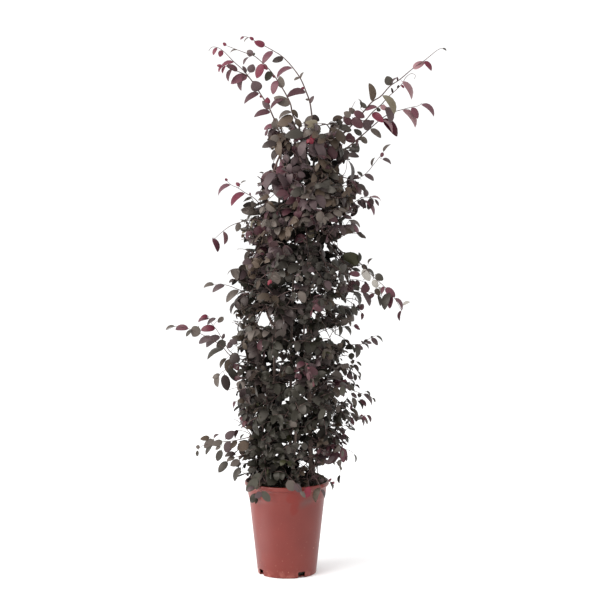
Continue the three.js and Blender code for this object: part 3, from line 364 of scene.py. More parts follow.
HEAD_SHOOTS = [
    {"name": "shoot_top_left_1", "limb": "trunk",
     "paths": [
         [(61, 4, 1067), (54, 8, 1113), (46, 12, 1136), (30, 17, 1172), (-7, 25, 1217),
          (-32, 29, 1234), (-75, 36, 1257), (-90, 38, 1265), (-102, 40, 1267), (-109, 40, 1262)],
     ],
     "placed": [
         (-99, 1267, -109, 1261, 5, "wine"), (-89, 1263, -99, 1254, 3, "ash"),
         (-77, 1260, -86, 1266, 7, "crimson"), (-50, 1248, -74, 1256, 14, "crimson"),
         (-31, 1234, -55, 1204, 14, "wine"), (-6, 1217, -32, 1207, 13, "dusk"),
         (14, 1191, -20, 1169, 11, "wine"), (30, 1170, 18, 1164, 6, "ash"),
         (34, 1168, 40, 1182, 5, "ash"), (46, 1135, 1, 1128, 15, "plum"),
         (38, 1148, 33, 1142, 6, "crimson"), (54, 1111, 64, 1127, 8, "mauve"),
         (52, 1117, 44, 1121, 5, "ash"), (59, 1084, 45, 1055, 12, "ash"),
         (60, 1084, 76, 1071, 12, "dusk"), (61, 1068, 63, 1046, 18, "ash"),
         (62, 1062, 80, 1052, 10, "slate"),
     ]},
    {"name": "shoot_top_left_2", "bough": ("trunk", 940, 204, 34, 104),
     "paths": [
         [(13, -16, 1088), (9, -20, 1108), (-10, -28, 1145), (-37, -32, 1184),
          (-55, -36, 1202), (-75, -38, 1218), (-95, -40, 1225), (-138, -44, 1241)],
     ],
     "placed": [
         (-138, 1241, -146, 1247, 7, "crimson"), (-111, 1231, -129, 1226, 4, "ash"),
         (-78, 1217, -91, 1229, 14, "mauve"), (-86, 1215, -97, 1198, 6, "mauve"),
         (-77, 1218, -73, 1225, 5, "slate"), (-55, 1202, -67, 1168, 17, "crimson"),
         (-52, 1200, -46, 1186, 9, "crimson"), (-38, 1184, -46, 1161, 15, "moss"),
         (-27, 1169, -33, 1174, 6, "crimson"), (-20, 1163, -33, 1132, 15, "wine"),
         (-9, 1145, -17, 1171, 15, "ash"), (10, 1107, -29, 1121, 20, "ash"),
         (-4, 1120, -36, 1098, 9, "plum"), (13, 1088, -17, 1076, 9, "ash"),
         (16, 1083, -18, 1054, 21, "cocoa"), (12, 1096, 26, 1078, 9, "umber"),
         (18, 1074, 34, 1056, 12, "umber"),
     ]},
    {"name": "shoot_top_left_3", "limb": "stem_left",
     "paths": [
         [(-29, 4, 1074), (-41, 5, 1100), (-64, 7, 1137), (-79, 9, 1160),
          (-102, 10, 1188), (-123, 12, 1207), (-148, 13, 1232), (-161, 14, 1240), (-175, 14, 1241),
          (-182, 14, 1232)],
         [(-79, 9, 1160), (-93, 0, 1175), (-116, -10, 1185), (-139, -20, 1195), (-158, -26, 1194)],
     ],
     "placed": [
         (-163, 1240, -170, 1223, 8, "crimson"), (-150, 1235, -156, 1219, 11, "crimson"),
         (-95, 1179, -103, 1196, 8, "mauve"), (-86, 1181, -80, 1201, 17, "mauve"),
         (-64, 1138, -76, 1162, 24, "mauve"), (-63, 1135, -98, 1111, 13, "plum"),
         (-57, 1128, -63, 1125, 6, "crimson"), (-42, 1108, -44, 1124, 12, "crimson"),
         (-39, 1097, -56, 1116, 13, "mauve"), (-40, 1088, -75, 1079, 13, "plum"),
         (-29, 1076, -22, 1064, 11, "ash"), (-32, 1070, -25, 1050, 17, "ash"),
         (-26, 1060, -52, 1049, 11, "wine"), (-26, 1052, -44, 1034, 15, "mauve"),
         (-122, 1206, -154, 1189, 9, "crimson"), (-148, 1194, -161, 1197, 7, "crimson"),
         (-141, 1194, -147, 1179, 6, "crimson"), (-150, 1193, -157, 1182, 5, "crimson"),
         (-113, 1185, -140, 1195, 12, "plum"), (-127, 1188, -135, 1162, 9, "plum"),
         (-91, 1172, -129, 1158, 18, "wine"), (-101, 1178, -105, 1141, 12, "plum"),
     ]},
    {"name": "shoot_top_right_1", "bough": ("trunk", 958, 10, 60, 66),
     "paths": [
         [(146, 14, 1054), (180, 12, 1092), (199, 9, 1114), (219, 6, 1127),
          (241, 2, 1151), (262, -2, 1165), (292, -9, 1190), (318, -15, 1208), (357, -22, 1236),
          (367, -24, 1232)],
         [(180, 14, 1070), (201, 18, 1091), (221, 22, 1108), (237, 26, 1126), (250, 30, 1137),
          (271, 34, 1158), (280, 34, 1173), (293, 32, 1181), (302, 30, 1176), (298, 28, 1168)],
         [(124, 8, 1030), (122, 4, 1050), (136, 2, 1076), (150, 0, 1098), (160, 0, 1116)],
     ],
     "placed": [
         (361, 1237, 369, 1231, 4, "slate"), (292, 1190, 320, 1203, 14, "rose"),
         (318, 1204, 335, 1186, 11, "crimson"), (240, 1154, 234, 1173, 18, "slate"),
         (242, 1155, 258, 1169, 4, "mauve"), (258, 1163, 256, 1172, 4, "plum"),
         (199, 1114, 190, 1155, 16, "cocoa"), (224, 1128, 249, 1087, 17, "khaki"),
         (232, 1104, 245, 1067, 17, "mauve"), (221, 1108, 231, 1095, 11, "rose"),
         (182, 1095, 211, 1100, 10, "wine"), (208, 1101, 219, 1093, 8, "slate"),
         (198, 1090, 225, 1068, 16, "crimson"), (156, 1092, 180, 1077, 15, "plum"),
         (186, 1100, 171, 1112, 10, "slate"), (172, 1098, 165, 1121, 5, "ash"),
         (150, 1080, 134, 1090, 14, "ash"), (158, 1086, 148, 1101, 12, "ash"),
         (153, 1078, 176, 1054, 20, "plum"), (150, 1062, 134, 1080, 16, "plum"),
         (120, 1050, 118, 1078, 8, "slate"), (136, 1050, 113, 1060, 12, "ash"),
         (132, 1052, 151, 1048, 12, "slate"), (247, 1137, 244, 1147, 5, "dusk"),
         (259, 1147, 262, 1154, 5, "dusk"), (268, 1155, 276, 1148, 5, "crimson"),
         (267, 1162, 290, 1121, 14, "rose"), (122, 1061, 117, 1076, 10, "slate"),
         (123, 1058, 149, 1052, 12, "slate"), (114, 1051, 133, 1016, 17, "umber"),
         (95, 1028, 123, 1000, 14, "umber"), (79, 1037, 90, 1034, 9, "slate"),
     ]},
    {"name": "shoot_top_right_2", "bough": ("trunk", 878, 50, 58, 92),
     "paths": [
         [(142, 40, 1008), (167, 42, 1028), (201, 46, 1057), (226, 48, 1078),
          (250, 50, 1091), (271, 52, 1097), (294, 53, 1103), (312, 54, 1107), (319, 54, 1113)],
     ],
     "placed": [
         (316, 1109, 347, 1084, 12, "wine"), (294, 1102, 310, 1078, 14, "wine"),
         # The thin rose leaf beside the claret one is a painted highlight on that leaf's lit half.
         (271, 1097, 301, 1056, 15, "rose"), (226, 1074, 258, 1034, 20, "claret"),
         (222, 1072, 248, 1044, 9, "rose"), (200, 1055, 179, 1066, 23, "mauve"),
         (198, 1052, 220, 1030, 13, "ash"), (190, 1062, 206, 1070, 10, "mauve"),
         (173, 1032, 190, 1020, 12, "ash"), (162, 1026, 136, 1034, 16, "plum"),
         (176, 1038, 160, 1052, 12, "slate"), (139, 1036, 155, 1033, 15, "plum"),
         (155, 1020, 168, 997, 17, "slate"), (164, 1026, 189, 1021, 7, "ash"),
         (145, 1002, 162, 1000, 8, "slate"),
     ]},
]

# Where a mass's twigs aim: share of its height, and shares of its sector either side

AIMS = {0.1: (-0.3, 0.02, 0.3), 0.5: (-0.38, 0.38), 0.75: (-0.12, 0.2), 0.95: (-0.4,)}
AIM_REACH = 0.84
AIM_JITTER = {"column": 0.07, "row": 0.05, "reach": 0.06}
HIGHEST_AIM = 0.97
STRAIGHT_START = 18
STEM_BEND = 22
CREST = {"share": 0.84, "reach": 0.62}
TWIG_ROOTS = (0.2, 0.98)
TWIG_LIFT = {"by": 12, "jitter": 8}
SHOOT_ROLL = {"by": 30, "jitter": 20}
TIP_LEAF = 16

# Sprigs, the finer twigs: where they aim in each mass, as shares of its height, of its
# sector either side and of the crown's radius. At the shares of their length in
# SPRIG_SIGHTS they stay out of the gaps.

SPRIG_AIMS = [
    {"rows": (0.06, 0.22, 0.38, 0.54, 0.7, 0.86, 0.98),
     "columns": (-0.46, -0.3, -0.15, 0.0, 0.15, 0.3, 0.46), "reach": (0.72, 1.14)},
    {"rows": (0.12, 0.36, 0.6, 0.84), "columns": (-0.38, -0.13, 0.13, 0.38),
     "reach": (0.3, 0.62)},
]
SPRIG_JITTER = {"column": 0.06, "row": 0.07}
SPRIG_LENGTH = {"best": 52, "least": 24, "most": 96}
SPRIG_FALL_COST = 0.4
SPRIG_SIGHTS = (1, 0.6)
SPRIG_LIFT = {"share": 0.16, "jitter": 4}
SPRAY_LIFT = {"share": 0.2, "jitter": 4}
FINE_ROLL = 40

# Wood of each kind: its radius at root and tip, and its mesh's sides and length of step

WOOD = {
    "stem": ((2.9, 1.5), 7, 7),
    "twig": ((1.6, 0.8), 5, 7),
    "sprig": ((1.0, 0.5), 5, 7),
    "spray": ((1.0, 0.5), 5, 7),
    "shoot": ((1.5, 0.5), 5, 7),
    "stalk": ((0.55, 0.4), 5, 7),
    "head": ((2.2, 0.55), 7, 4),
    "head_arm": ((1.5, 0.5), 7, 4),
}

# Leaves, by the wood that bears them: their size, its change from the twig's root to its
# tip, their spacing, the distance of the first and the room kept round them. Each points
# partly aside, partly below the twig, and hangs by its own weight. Its upper side turns
# outwards, forwards along the twig, and twists; bow is its bend from base to tip in radians.

LEAF = {"length": 40, "width": 24}
SHOOT_LEAF = {"length": 41, "width": 24}


def leaf_habit(**own):
    return {"size": LEAF, "aside": 0.85, "below": 0, "forward": 0, "twist": 0.5, **own}


HABITS = {
    "stem": leaf_habit(taper=(1, 0.9), spacing=18, first=30, room=6,
                       hang=(0.1, 0.6), outwards=(0.1, 0.6), bow=(0.4, 1.2)),
    "twig": leaf_habit(taper=(1, 0.75), spacing=14, first=18, room=6,
                       hang=(0.0, 0.6), outwards=(-0.1, 0.7), bow=(0.4, 1.5)),
    "sprig": leaf_habit(taper=(1, 0.68), spacing=11, first=9, room=5.2, aside=0.8,
                        hang=(-0.1, 0.7), outwards=(-0.1, 0.7), bow=(0.4, 1.6)),
    "spray": leaf_habit(size=SHOOT_LEAF, taper=(1, 0.72), spacing=12, first=8, room=4,
                        aside=0.6, below=0.2, forward=0.2, twist=0.6,
                        hang=(0.1, 0.6), outwards=(0.0, 0.5), bow=(0.6, 1.7)),
    "shoot": leaf_habit(size=SHOOT_LEAF, taper=(1.08, 0.76), spacing=13, first=30, room=3,
                        aside=0.4, below=0.5, forward=0.3, twist=1.3,
                        hang=(0.1, 0.5), outwards=(-0.1, 0.2), bow=(0.7, 1.7)),
}
SPRIG_SCALE = (0.68, 1.08)
LENGTH_RANGE = (0.72, 1.12)
WIDTH_RANGE = (0.85, 1.12)
AHEAD_RANGE = (0.2, 0.8)
BELOW_RANGE = (0.7, 1.3)
FALL_JITTER = 0.35
MARK_JITTER = 0.25
LAST_MARK = 0.985
TRIES = 4
UPRIGHT = {"share": 0.2, "hang": -0.6, "below": -0.7}
STRAY_SHARE = 0.3
TIP_LEAVES = [{"size": 0.7, "aside": 0.25}, {"size": 0.5, "aside": -0.7}]
TIP = {"fall": 0.3, "length": (0.8, 1.15), "width": (0.42, 0.58), "bow": (0.3, 1.0), "room": 2}
BUD = {"length": 8, "width": 4.4, "bow": 0.8, "room": 0.5, "share": 0.35, "ahead": 0.8,
       "aside": 0.4, "rise": (0, 0.6), "scale": (0.7, 1.3)}

# Young leaves are red and smaller. A placed leaf stands on a stalk where it is away from
# the wood; it is wider and longer than it shows, because it is folded and bowed.

YOUNG_TINTS = ("scarlet", "garnet")
YOUNG_SIZE = 0.7
YOUNG_SHARE = 0.75
TIP_COLOUR_FROM = {"share": 0.6, "jitter": 0.15}
STALK_FROM = 5
STALK_LIFT = 0.15
PLACED = {"breadth": 0.55, "wider": 1.12, "longer": 1.05, "depth": 0.3, "edge_on": 0.3,
          "bow": (0.6, 1.8), "bow_jitter": 0.15}
TO_FRONT = np.array([0.0, -1.0, 0.0])

# Points on a leaf that need room: shares of its length, and of its width either side

MARK_SHARES = np.array([0.25, 0.5, 0.75, 0.94])
MARK_WIDTH = 0.42
GAP_WIDTH = 0.9


def vec(*numbers):
    return np.array(numbers, float)


def lerp(pair, share):
    return pair[0] + (pair[1] - pair[0]) * share


def unit(vector):
    return vector / np.linalg.norm(vector)


# Seeded draws between 0 and 1, the same in every run

def seeded_draws(seed):
    mask = 0xFFFFFFFF
    state = seed

    def draw():
        nonlocal state
        state = (state + 0x6D2B79F5) & mask
        mixed = ((state ^ (state >> 15)) * (state | 1)) & mask
        mixed ^= (mixed + (mixed ^ (mixed >> 7)) * (mixed | 61)) & mask
        return (mixed ^ (mixed >> 14)) / (mask + 1)

    return draw


# A smooth line through space, read by shares of its length

class Route:
    def __init__(self, points):
        self.points = np.asarray(points, float)
        steps = np.linalg.norm(np.diff(self.points, axis=0), axis=1)
        self.marks = np.concatenate([[0.0], np.cumsum(steps)])
        self.length = self.marks[-1]

    def at(self, share):
        mark = np.asarray(share) * self.length
        return np.stack([np.interp(mark, self.marks, axis) for axis in self.points.T], axis=-1)

    def ahead(self, share):
        low = min(max(share - 0.01, 0.0), 0.98)
        return unit(self.at(low + 0.02) - self.at(low))

    def shortened(self, room):
        share = 1 - room / self.length
        return Route(self.at(np.linspace(0, share, len(self.points))))


def bent(start, bend, tip, steps=24):
    t = np.linspace(0, 1, steps + 1)[:, None]
    return Route((1 - t) ** 2 * start + 2 * t * (1 - t) * bend + t ** 2 * tip)


def through(points, steps=16):
    points = [np.asarray(point, float) for point in points]
    points = [2 * points[0] - points[1], *points, 2 * points[-1] - points[-2]]
    line = []
    for a, b, c, d in zip(points, points[1:], points[2:], points[3:]):
        before, own, after = (math.sqrt(max(np.linalg.norm(q - p), 1e-4))
                              for p, q in ((a, b), (b, c), (c, d)))
        leaving = ((b - a) / before - (c - a) / (before + own) + (c - b) / own) * own
        arriving = ((c - b) / own - (d - b) / (own + after) + (d - c) / after) * own
        for t in np.arange(steps) / steps:
            line.append(
                b + leaving * t
                + (-3 * b + 3 * c - 2 * leaving - arriving) * t ** 2
                + (2 * b - 2 * c + leaving + arriving) * t ** 3
            )
    line.append(points[-2])
    return Route(line)


# The crown's outline at a height, and a mass's own space in it

def crown_at(z):
    return np.interp(z, CROWN[:, 0], CROWN[:, 1]), np.interp(z, CROWN[:, 0], CROWN[:, 2])


def crown_point(tier, azimuth, share, reach):
    level = lerp(TIERS[tier:tier + 2], share)
    spread = crown_at(level)[1] * reach
    height = level + (TIER_SLOPE["middle"] - TIER_SLOPE["fall"] * spread)
    x, radius = crown_at(height)
    turn = math.radians(azimuth)
    return vec(x + math.cos(turn) * radius * reach, math.sin(turn) * radius * reach, height)


# The limbs: stems from the soil, and boughs from the stems

def soil_height(x, y):
    away = ((x - MOUND["x"]) ** 2 + (y - MOUND["y"]) ** 2) / (2 * MOUND["spread"] ** 2)
    return SOIL_LEVEL + MOUND["rise"] * np.exp(-away)


def stem_route(stem):
    x, y = stem["at"]
    foot = vec(x, y, soil_height(x, y) - SEAT_DEPTH)
    tip = vec(*stem["tip"])
    points = []
    for along in np.linspace(0, 1, 7):
        bulge = math.sin(math.pi * along)
        points.append(foot + (tip - foot) * along + vec(*stem["bow"], 0) * bulge)
    points.insert(1, foot + UP * FLARE_HEIGHT)
    return through(points)


def stem_radius(stem, length):
    def at(share):
        flare = (stem["flare"] - 1) * np.exp(-share * length / FLARE_HEIGHT * FLARE_FALL)
        return lerp((stem["radius"], stem["end"]), share) * (1 + flare)

    return at


def bough_route(routes, bough):
    stem, z, azimuth, reach, rise = bough
    route = routes[stem]
    foot, top = route.points[0][2], route.points[-1][2]
    start = route.at(min(max((z - foot) / (top - foot), 0), 1))
    turn = math.radians(azimuth)
    out = vec(math.cos(turn), math.sin(turn), 0)
    bend = start + out * reach * BOUGH_BEND["out"] + UP * rise * BOUGH_BEND["up"]
    return bent(start, bend, start + out * reach + UP * rise)


def bough_radius(length):
    def at(share):
        collar = BOUGH_COLLAR["swell"] * math.exp(-share * length / BOUGH_COLLAR["length"])
        return lerp(BOUGH_RADIUS, share) * (1 + collar)

    return at


# Objects, and meshes from arrays of points in millimetres and of triangles

def new_object(name, data):
    made = bpy.data.objects.new(name, data)
    bpy.context.scene.collection.objects.link(made)
    return made


def mesh_object(name, points, triangles, materials, slots=None):
    points = np.asarray(points, np.float32) * MM
    triangles = np.asarray(triangles, np.int32)
    mesh = bpy.data.meshes.new(name)
    mesh.vertices.add(len(points))
    mesh.vertices.foreach_set("co", points.ravel())
    mesh.loops.add(triangles.size)
    mesh.loops.foreach_set("vertex_index", triangles.ravel())
    mesh.polygons.add(len(triangles))
    mesh.polygons.foreach_set("loop_start", np.arange(0, triangles.size, 3, dtype=np.int32))
    mesh.polygons.foreach_set("use_smooth", np.full(len(triangles), True))
    for material in materials:
        mesh.materials.append(material)
    if slots is not None:
        mesh.polygons.foreach_set("material_index", np.asarray(slots, np.int32))
    mesh.update(calc_edges=True)
    mesh.validate()
    return new_object(name, mesh)


# Every piece rides on the one body, and stands for the nodes that it replaces

def settle(piece, slot, *nodes):
    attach(piece, "root")
    if nodes:
        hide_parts(*nodes)


class Heap:
    """Joins many small meshes into one."""

    def __init__(self):
        self.points = []
        self.triangles = []
        self.count = 0

    def add(self, points, triangles):
        self.points.append(points)
        self.triangles.append(np.asarray(triangles) + self.count)
        self.count += len(points)

    def arrays(self):
        return np.concatenate(self.points), np.concatenate(self.triangles)


def tube_triangles(rings, sides):
    first = np.arange((rings - 1) * sides)
    turn = first % sides
    onward = first - turn + (turn + 1) % sides
    side = np.arange(sides)
    after = (side + 1) % sides
    last = (rings - 1) * sides
    return np.concatenate([
        np.stack([first, onward, onward + sides], 1),
        np.stack([first, onward + sides, first + sides], 1),
        np.stack([np.full(sides, rings * sides), after, side], 1),
        np.stack([np.full(sides, rings * sides + 1), last + side, last + after], 1),
    ])


def steady_sides(points):
    """Two side vectors at each point of a line, turned as little as may be."""
    tangents = np.gradient(points, axis=0)
    tangents /= np.linalg.norm(tangents, axis=1)[:, None]
    side = vec(1, 0, 0) if abs(tangents[0][0]) < 0.9 else vec(0, 1, 0)
    sides = []
    for tangent in tangents:
        side = unit(side - tangent * side.dot(tangent))
        sides.append(side)
    sides = np.array(sides)
    return sides, np.cross(tangents, sides)


def tube(route, radius_at, sides, step, relief=None):
    rings = max(3, int(round(route.length / step)) + 1)
    shares = np.linspace(0, 1, rings)
    centres = route.at(shares)
    aside, across = steady_sides(centres)
    turns = np.arange(sides) * 2 * math.pi / sides
    radii = np.array([radius_at(share) for share in shares])[:, None] * np.ones(sides)
    if relief is not None:
        radii = radii * (1 + relief(shares * route.length, turns))
    ring = (
        aside[:, None, :] * np.cos(turns)[None, :, None]
        + across[:, None, :] * np.sin(turns)[None, :, None]
    )
    points = centres[:, None, :] + ring * radii[:, :, None]
    points = np.concatenate([points.reshape(-1, 3), centres[:1], centres[-1:]])
    return points, tube_triangles(rings, sides)


# Twigs of every kind, with their own directions at each point

class Twig:
    def __init__(self, route, kind, tint, roll):
        self.route = route
        self.kind = kind
        self.tint = tint
        self.roll = math.radians(roll)
        self.radius, self.sides, self.step = WOOD[kind]

    def radius_at(self, share):
        return lerp(self.radius, share)

    def tint_at(self, share):
        return self.tint(share) if callable(self.tint) else self.tint

    def frame(self, share):
        ahead = self.route.ahead(share)
        right = np.cross(ahead, UP)
        if np.linalg.norm(right) < 1e-3:
            right = vec(1, 0, 0)
        right = unit(right)
        above = np.cross(right, ahead)
        turned = right * math.cos(self.roll) - above * math.sin(self.roll)
        return ahead, turned, np.cross(turned, ahead)


# Room for leaves: points taken by limbs and by other leaves, in cells

CELL = 8.0
NEIGHBOURS = [(x, y, z) for x in (-1, 0, 1) for y in (-1, 0, 1) for z in (-1, 0, 1)]


class Room:
    def __init__(self):
        self.cells = {}

    def cell(self, point):
        return tuple((point // CELL).astype(int))

    def take(self, points):
        for point in points:
            self.cells.setdefault(self.cell(point), []).append(point)

    def is_free(self, points, clearance):
        for point in points:
            middle = self.cell(point)
            for offset in NEIGHBOURS:
                key = (middle[0] + offset[0], middle[1] + offset[1], middle[2] + offset[2])
                for other in self.cells.get(key, ()):
                    gap = point - other
                    if gap.dot(gap) < clearance * clearance:
                        return False
        return True


# Gaps in the crown through which the background shows from the front: where the line of
# sight meets the plane Y = 0, and half the gap's width and height there. The small ones are
# places alone. CLEARING is the opening in front of the trunk's foot.

VIEWPOINT = (31, -4000, 1000)
LARGE_GAPS = [
    (88, 1082, 16, 40), (32, 1078, 7, 36), (-36, 985, 26, 16), (-86, 1005, 33, 62),
    (-88, 930, 20, 34), (-4, 1046, 10, 5), (11, 1021, 4, 9), (11, 989, 3, 8),
    (106, 1010, 7, 7), (140, 1044, 22, 34), (166, 966, 22, 20), (151, 784, 32, 17),
    (163, 703, 14, 9), (150, 651, 10, 16), (128, 953, 4, 8), (137, 936, 4, 6),
    (137, 917, 5, 6), (-37, 915, 10, 3), (-37, 892, 9, 8), (-56, 606, 21, 12),
    (-40, 596, 12, 9), (118, 571, 43, 14), (67, 620, 5, 4), (87, 620, 4, 6),
    (120, 648, 11, 5), (94, 243, 29, 14), (36, 262, 6, 9), (22, 287, 4, 5),
    (-121, 765, 22, 40), (-130, 582, 14, 15), (-134, 428, 12, 20), (-128, 358, 12, 18),
    (-100, 333, 16, 9), (-106, 204, 18, 27),
]
SMALL_GAPS = [
    (-64, 282), (73, 341), (9, 337), (-8, 407), (-40, 483), (-19, 485), (-29, 461),
    (55, 427), (30, 522), (42, 507), (-64, 541), (-99, 522), (-110, 428), (-26, 357),
    (21, 820), (51, 818), (80, 813), (63, 791), (91, 778), (110, 784), (103, 747),
    (122, 751), (119, 721), (19, 693), (35, 591), (40, 573),
]
SMALL_GAP = 3.4
SKY_GAPS = np.array(LARGE_GAPS + [(x, z, SMALL_GAP, SMALL_GAP) for x, z in SMALL_GAPS], float)
CLEARING = (57, 286, 8, 50)
CLEARING_BEHIND = -14
POT_CLEARANCE = 2
WALL_CLEARANCE = 4
ABOVE_CROWN = 24


def in_sky_gap(points):
    points = np.atleast_2d(points)
    reach = -VIEWPOINT[1] / (points[:, 1] - VIEWPOINT[1])
    x = VIEWPOINT[0] + (points[:, 0] - VIEWPOINT[0]) * reach
    z = VIEWPOINT[2] + (points[:, 2] - VIEWPOINT[2]) * reach
    across = (x[:, None] - SKY_GAPS[:, 0]) / SKY_GAPS[:, 2]
    up = (z[:, None] - SKY_GAPS[:, 1]) / SKY_GAPS[:, 3]
    if (across ** 2 + up ** 2 < 1).any():
        return True
    near_x, near_z, width, height = CLEARING
    cleared = ((x - near_x) / width) ** 2 + ((z - near_z) / height) ** 2 < 1
    return (cleared & (points[:, 1] < CLEARING_BEHIND)).any()


def in_pot(point):
    away = math.hypot(point[0], point[1])
    if point[2] > POT_HEIGHT + POT_CLEARANCE or away > RIM_RADIUS + POT_CLEARANCE:
        return False
    if away > THROAT_RADIUS - WALL - WALL_CLEARANCE:
        return True
    return point[2] < soil_height(point[0], point[1]) + POT_CLEARANCE


def in_crown(point, overhang):
    x, radius = crown_at(point[2])
    away = math.hypot(point[0] - x, point[1])
    return away < radius + overhang and point[2] < CROWN_TOP + ABOVE_CROWN


# Kinds of leaf colour, and how often each is dealt to a spray: low, middle and top of the
# crown, inside it, and on the long shoots of its head from root to tip. Inside the crown the
# near-black tint is painted shade, and the top's paler tints are partly painted backlight.

TINTS = {
    # painted shade: the near-black of shaded leaves deep in the crown
    "night": (0.005, 0.004, 0.003),
    "moss": (0.011, 0.01, 0.006),
    "dusk": (0.023, 0.0155, 0.015),
    "slate": (0.033, 0.029, 0.024),
    "umber": (0.038, 0.026, 0.0175),
    "cocoa": (0.064, 0.044, 0.031),
    "ash": (0.078, 0.063, 0.054),
    "sage": (0.052, 0.049, 0.038),
    "plum": (0.048, 0.0165, 0.022),
    "mauve": (0.06, 0.039, 0.042),
    "wine": (0.088, 0.03, 0.042),
    "rose": (0.18, 0.09, 0.1),
    "crimson": (0.095, 0.014, 0.028),
    "claret": (0.036, 0.005, 0.01),
    "olive": (0.024, 0.024, 0.009),
    "khaki": (0.12, 0.1, 0.066),
    "pale": (0.34, 0.32, 0.29),
    "scarlet": (0.13, 0.009, 0.022),
    "garnet": (0.05, 0.005, 0.012),
}
SHARES = {
    "low": {"slate": 4, "moss": 6, "night": 1, "dusk": 3, "umber": 2, "plum": 0.8, "sage": 1.2},
    "middle": {"slate": 4, "moss": 5, "night": 1, "dusk": 3, "umber": 3, "plum": 1.2, "ash": 1},
    # the top is dealt paler tints, partly its own hue and partly painted backlight
    "top": {"mauve": 3.6, "dusk": 1, "cocoa": 3, "ash": 4, "plum": 1.8, "slate": 1.4, "khaki": 0.4},
    # inside the crown: mostly the near-black of painted shade
    "inside": {"night": 7, "moss": 2},
    "rosy": {"mauve": 5, "plum": 1.6, "cocoa": 2, "wine": 0.8, "ash": 3},
    "green": {"moss": 5, "slate": 3, "olive": 1.2},
    "olive": {"olive": 5, "moss": 3, "slate": 2},
    "russet": {"cocoa": 4, "umber": 1.2, "plum": 1.3, "mauve": 2.4},
    "burgundy": {"plum": 5, "dusk": 2},
    "bronze": {"umber": 2.4, "cocoa": 3, "olive": 1, "slate": 2, "khaki": 0.3},
    "deep": {"moss": 5, "night": 3, "slate": 3, "dusk": 2},
    "grey": {"slate": 4, "ash": 2, "mauve": 1, "dusk": 2},
    "shoot_root": {"ash": 3, "slate": 3, "mauve": 2, "cocoa": 1.2},
    "shoot_tip": {"plum": 2, "mauve": 3, "ash": 3, "wine": 1},
}
INSIDE_REACH = 0.62
LOW_BELOW = 470
TOP_FROM = 800

# Places on the front where sprays of one kind stand together: middle along X and Z, radius

PATCHES = [
    (-14, 932, 50, "rosy"), (60, 997, 34, "rosy"), (90, 942, 46, "bronze"),
    (114, 1006, 32, "bronze"), (-21, 1021, 32, "russet"), (18, 600, 70, "deep"),
    (128, 748, 34, "olive"), (-70, 770, 60, "russet"), (110, 290, 44, "burgundy"),
    (-20, 400, 70, "green"), (-30, 300, 60, "green"), (40, 690, 60, "grey"),
]


def dealt(shares, number):
    goal = number * sum(shares.values())
    for tint, share in shares.items():
        goal -= share
        if goal <= 0:
            break
    return tint


def zone_of(point, reach):
    if reach < INSIDE_REACH:
        return "inside"
    for x, z, radius, zone in PATCHES:
        if point[1] < 0 and math.hypot(point[0] - x, point[2] - z) < radius:
            return zone
    if point[2] < LOW_BELOW:
        return "low"
    return "middle" if point[2] < TOP_FROM else "top"


# How close leaves may stand where they are smaller than life

def crowding(scale):
    return 0.4 + 0.6 * scale


# Growing: twigs by the crown's rule, sprigs from them, and leaves in two ranks

FINE_SEEDS = 5000
Leaf = namedtuple("Leaf", "base ahead normal length width bow fold sweep tint")
room = Room()
leaves = []
twigs = []


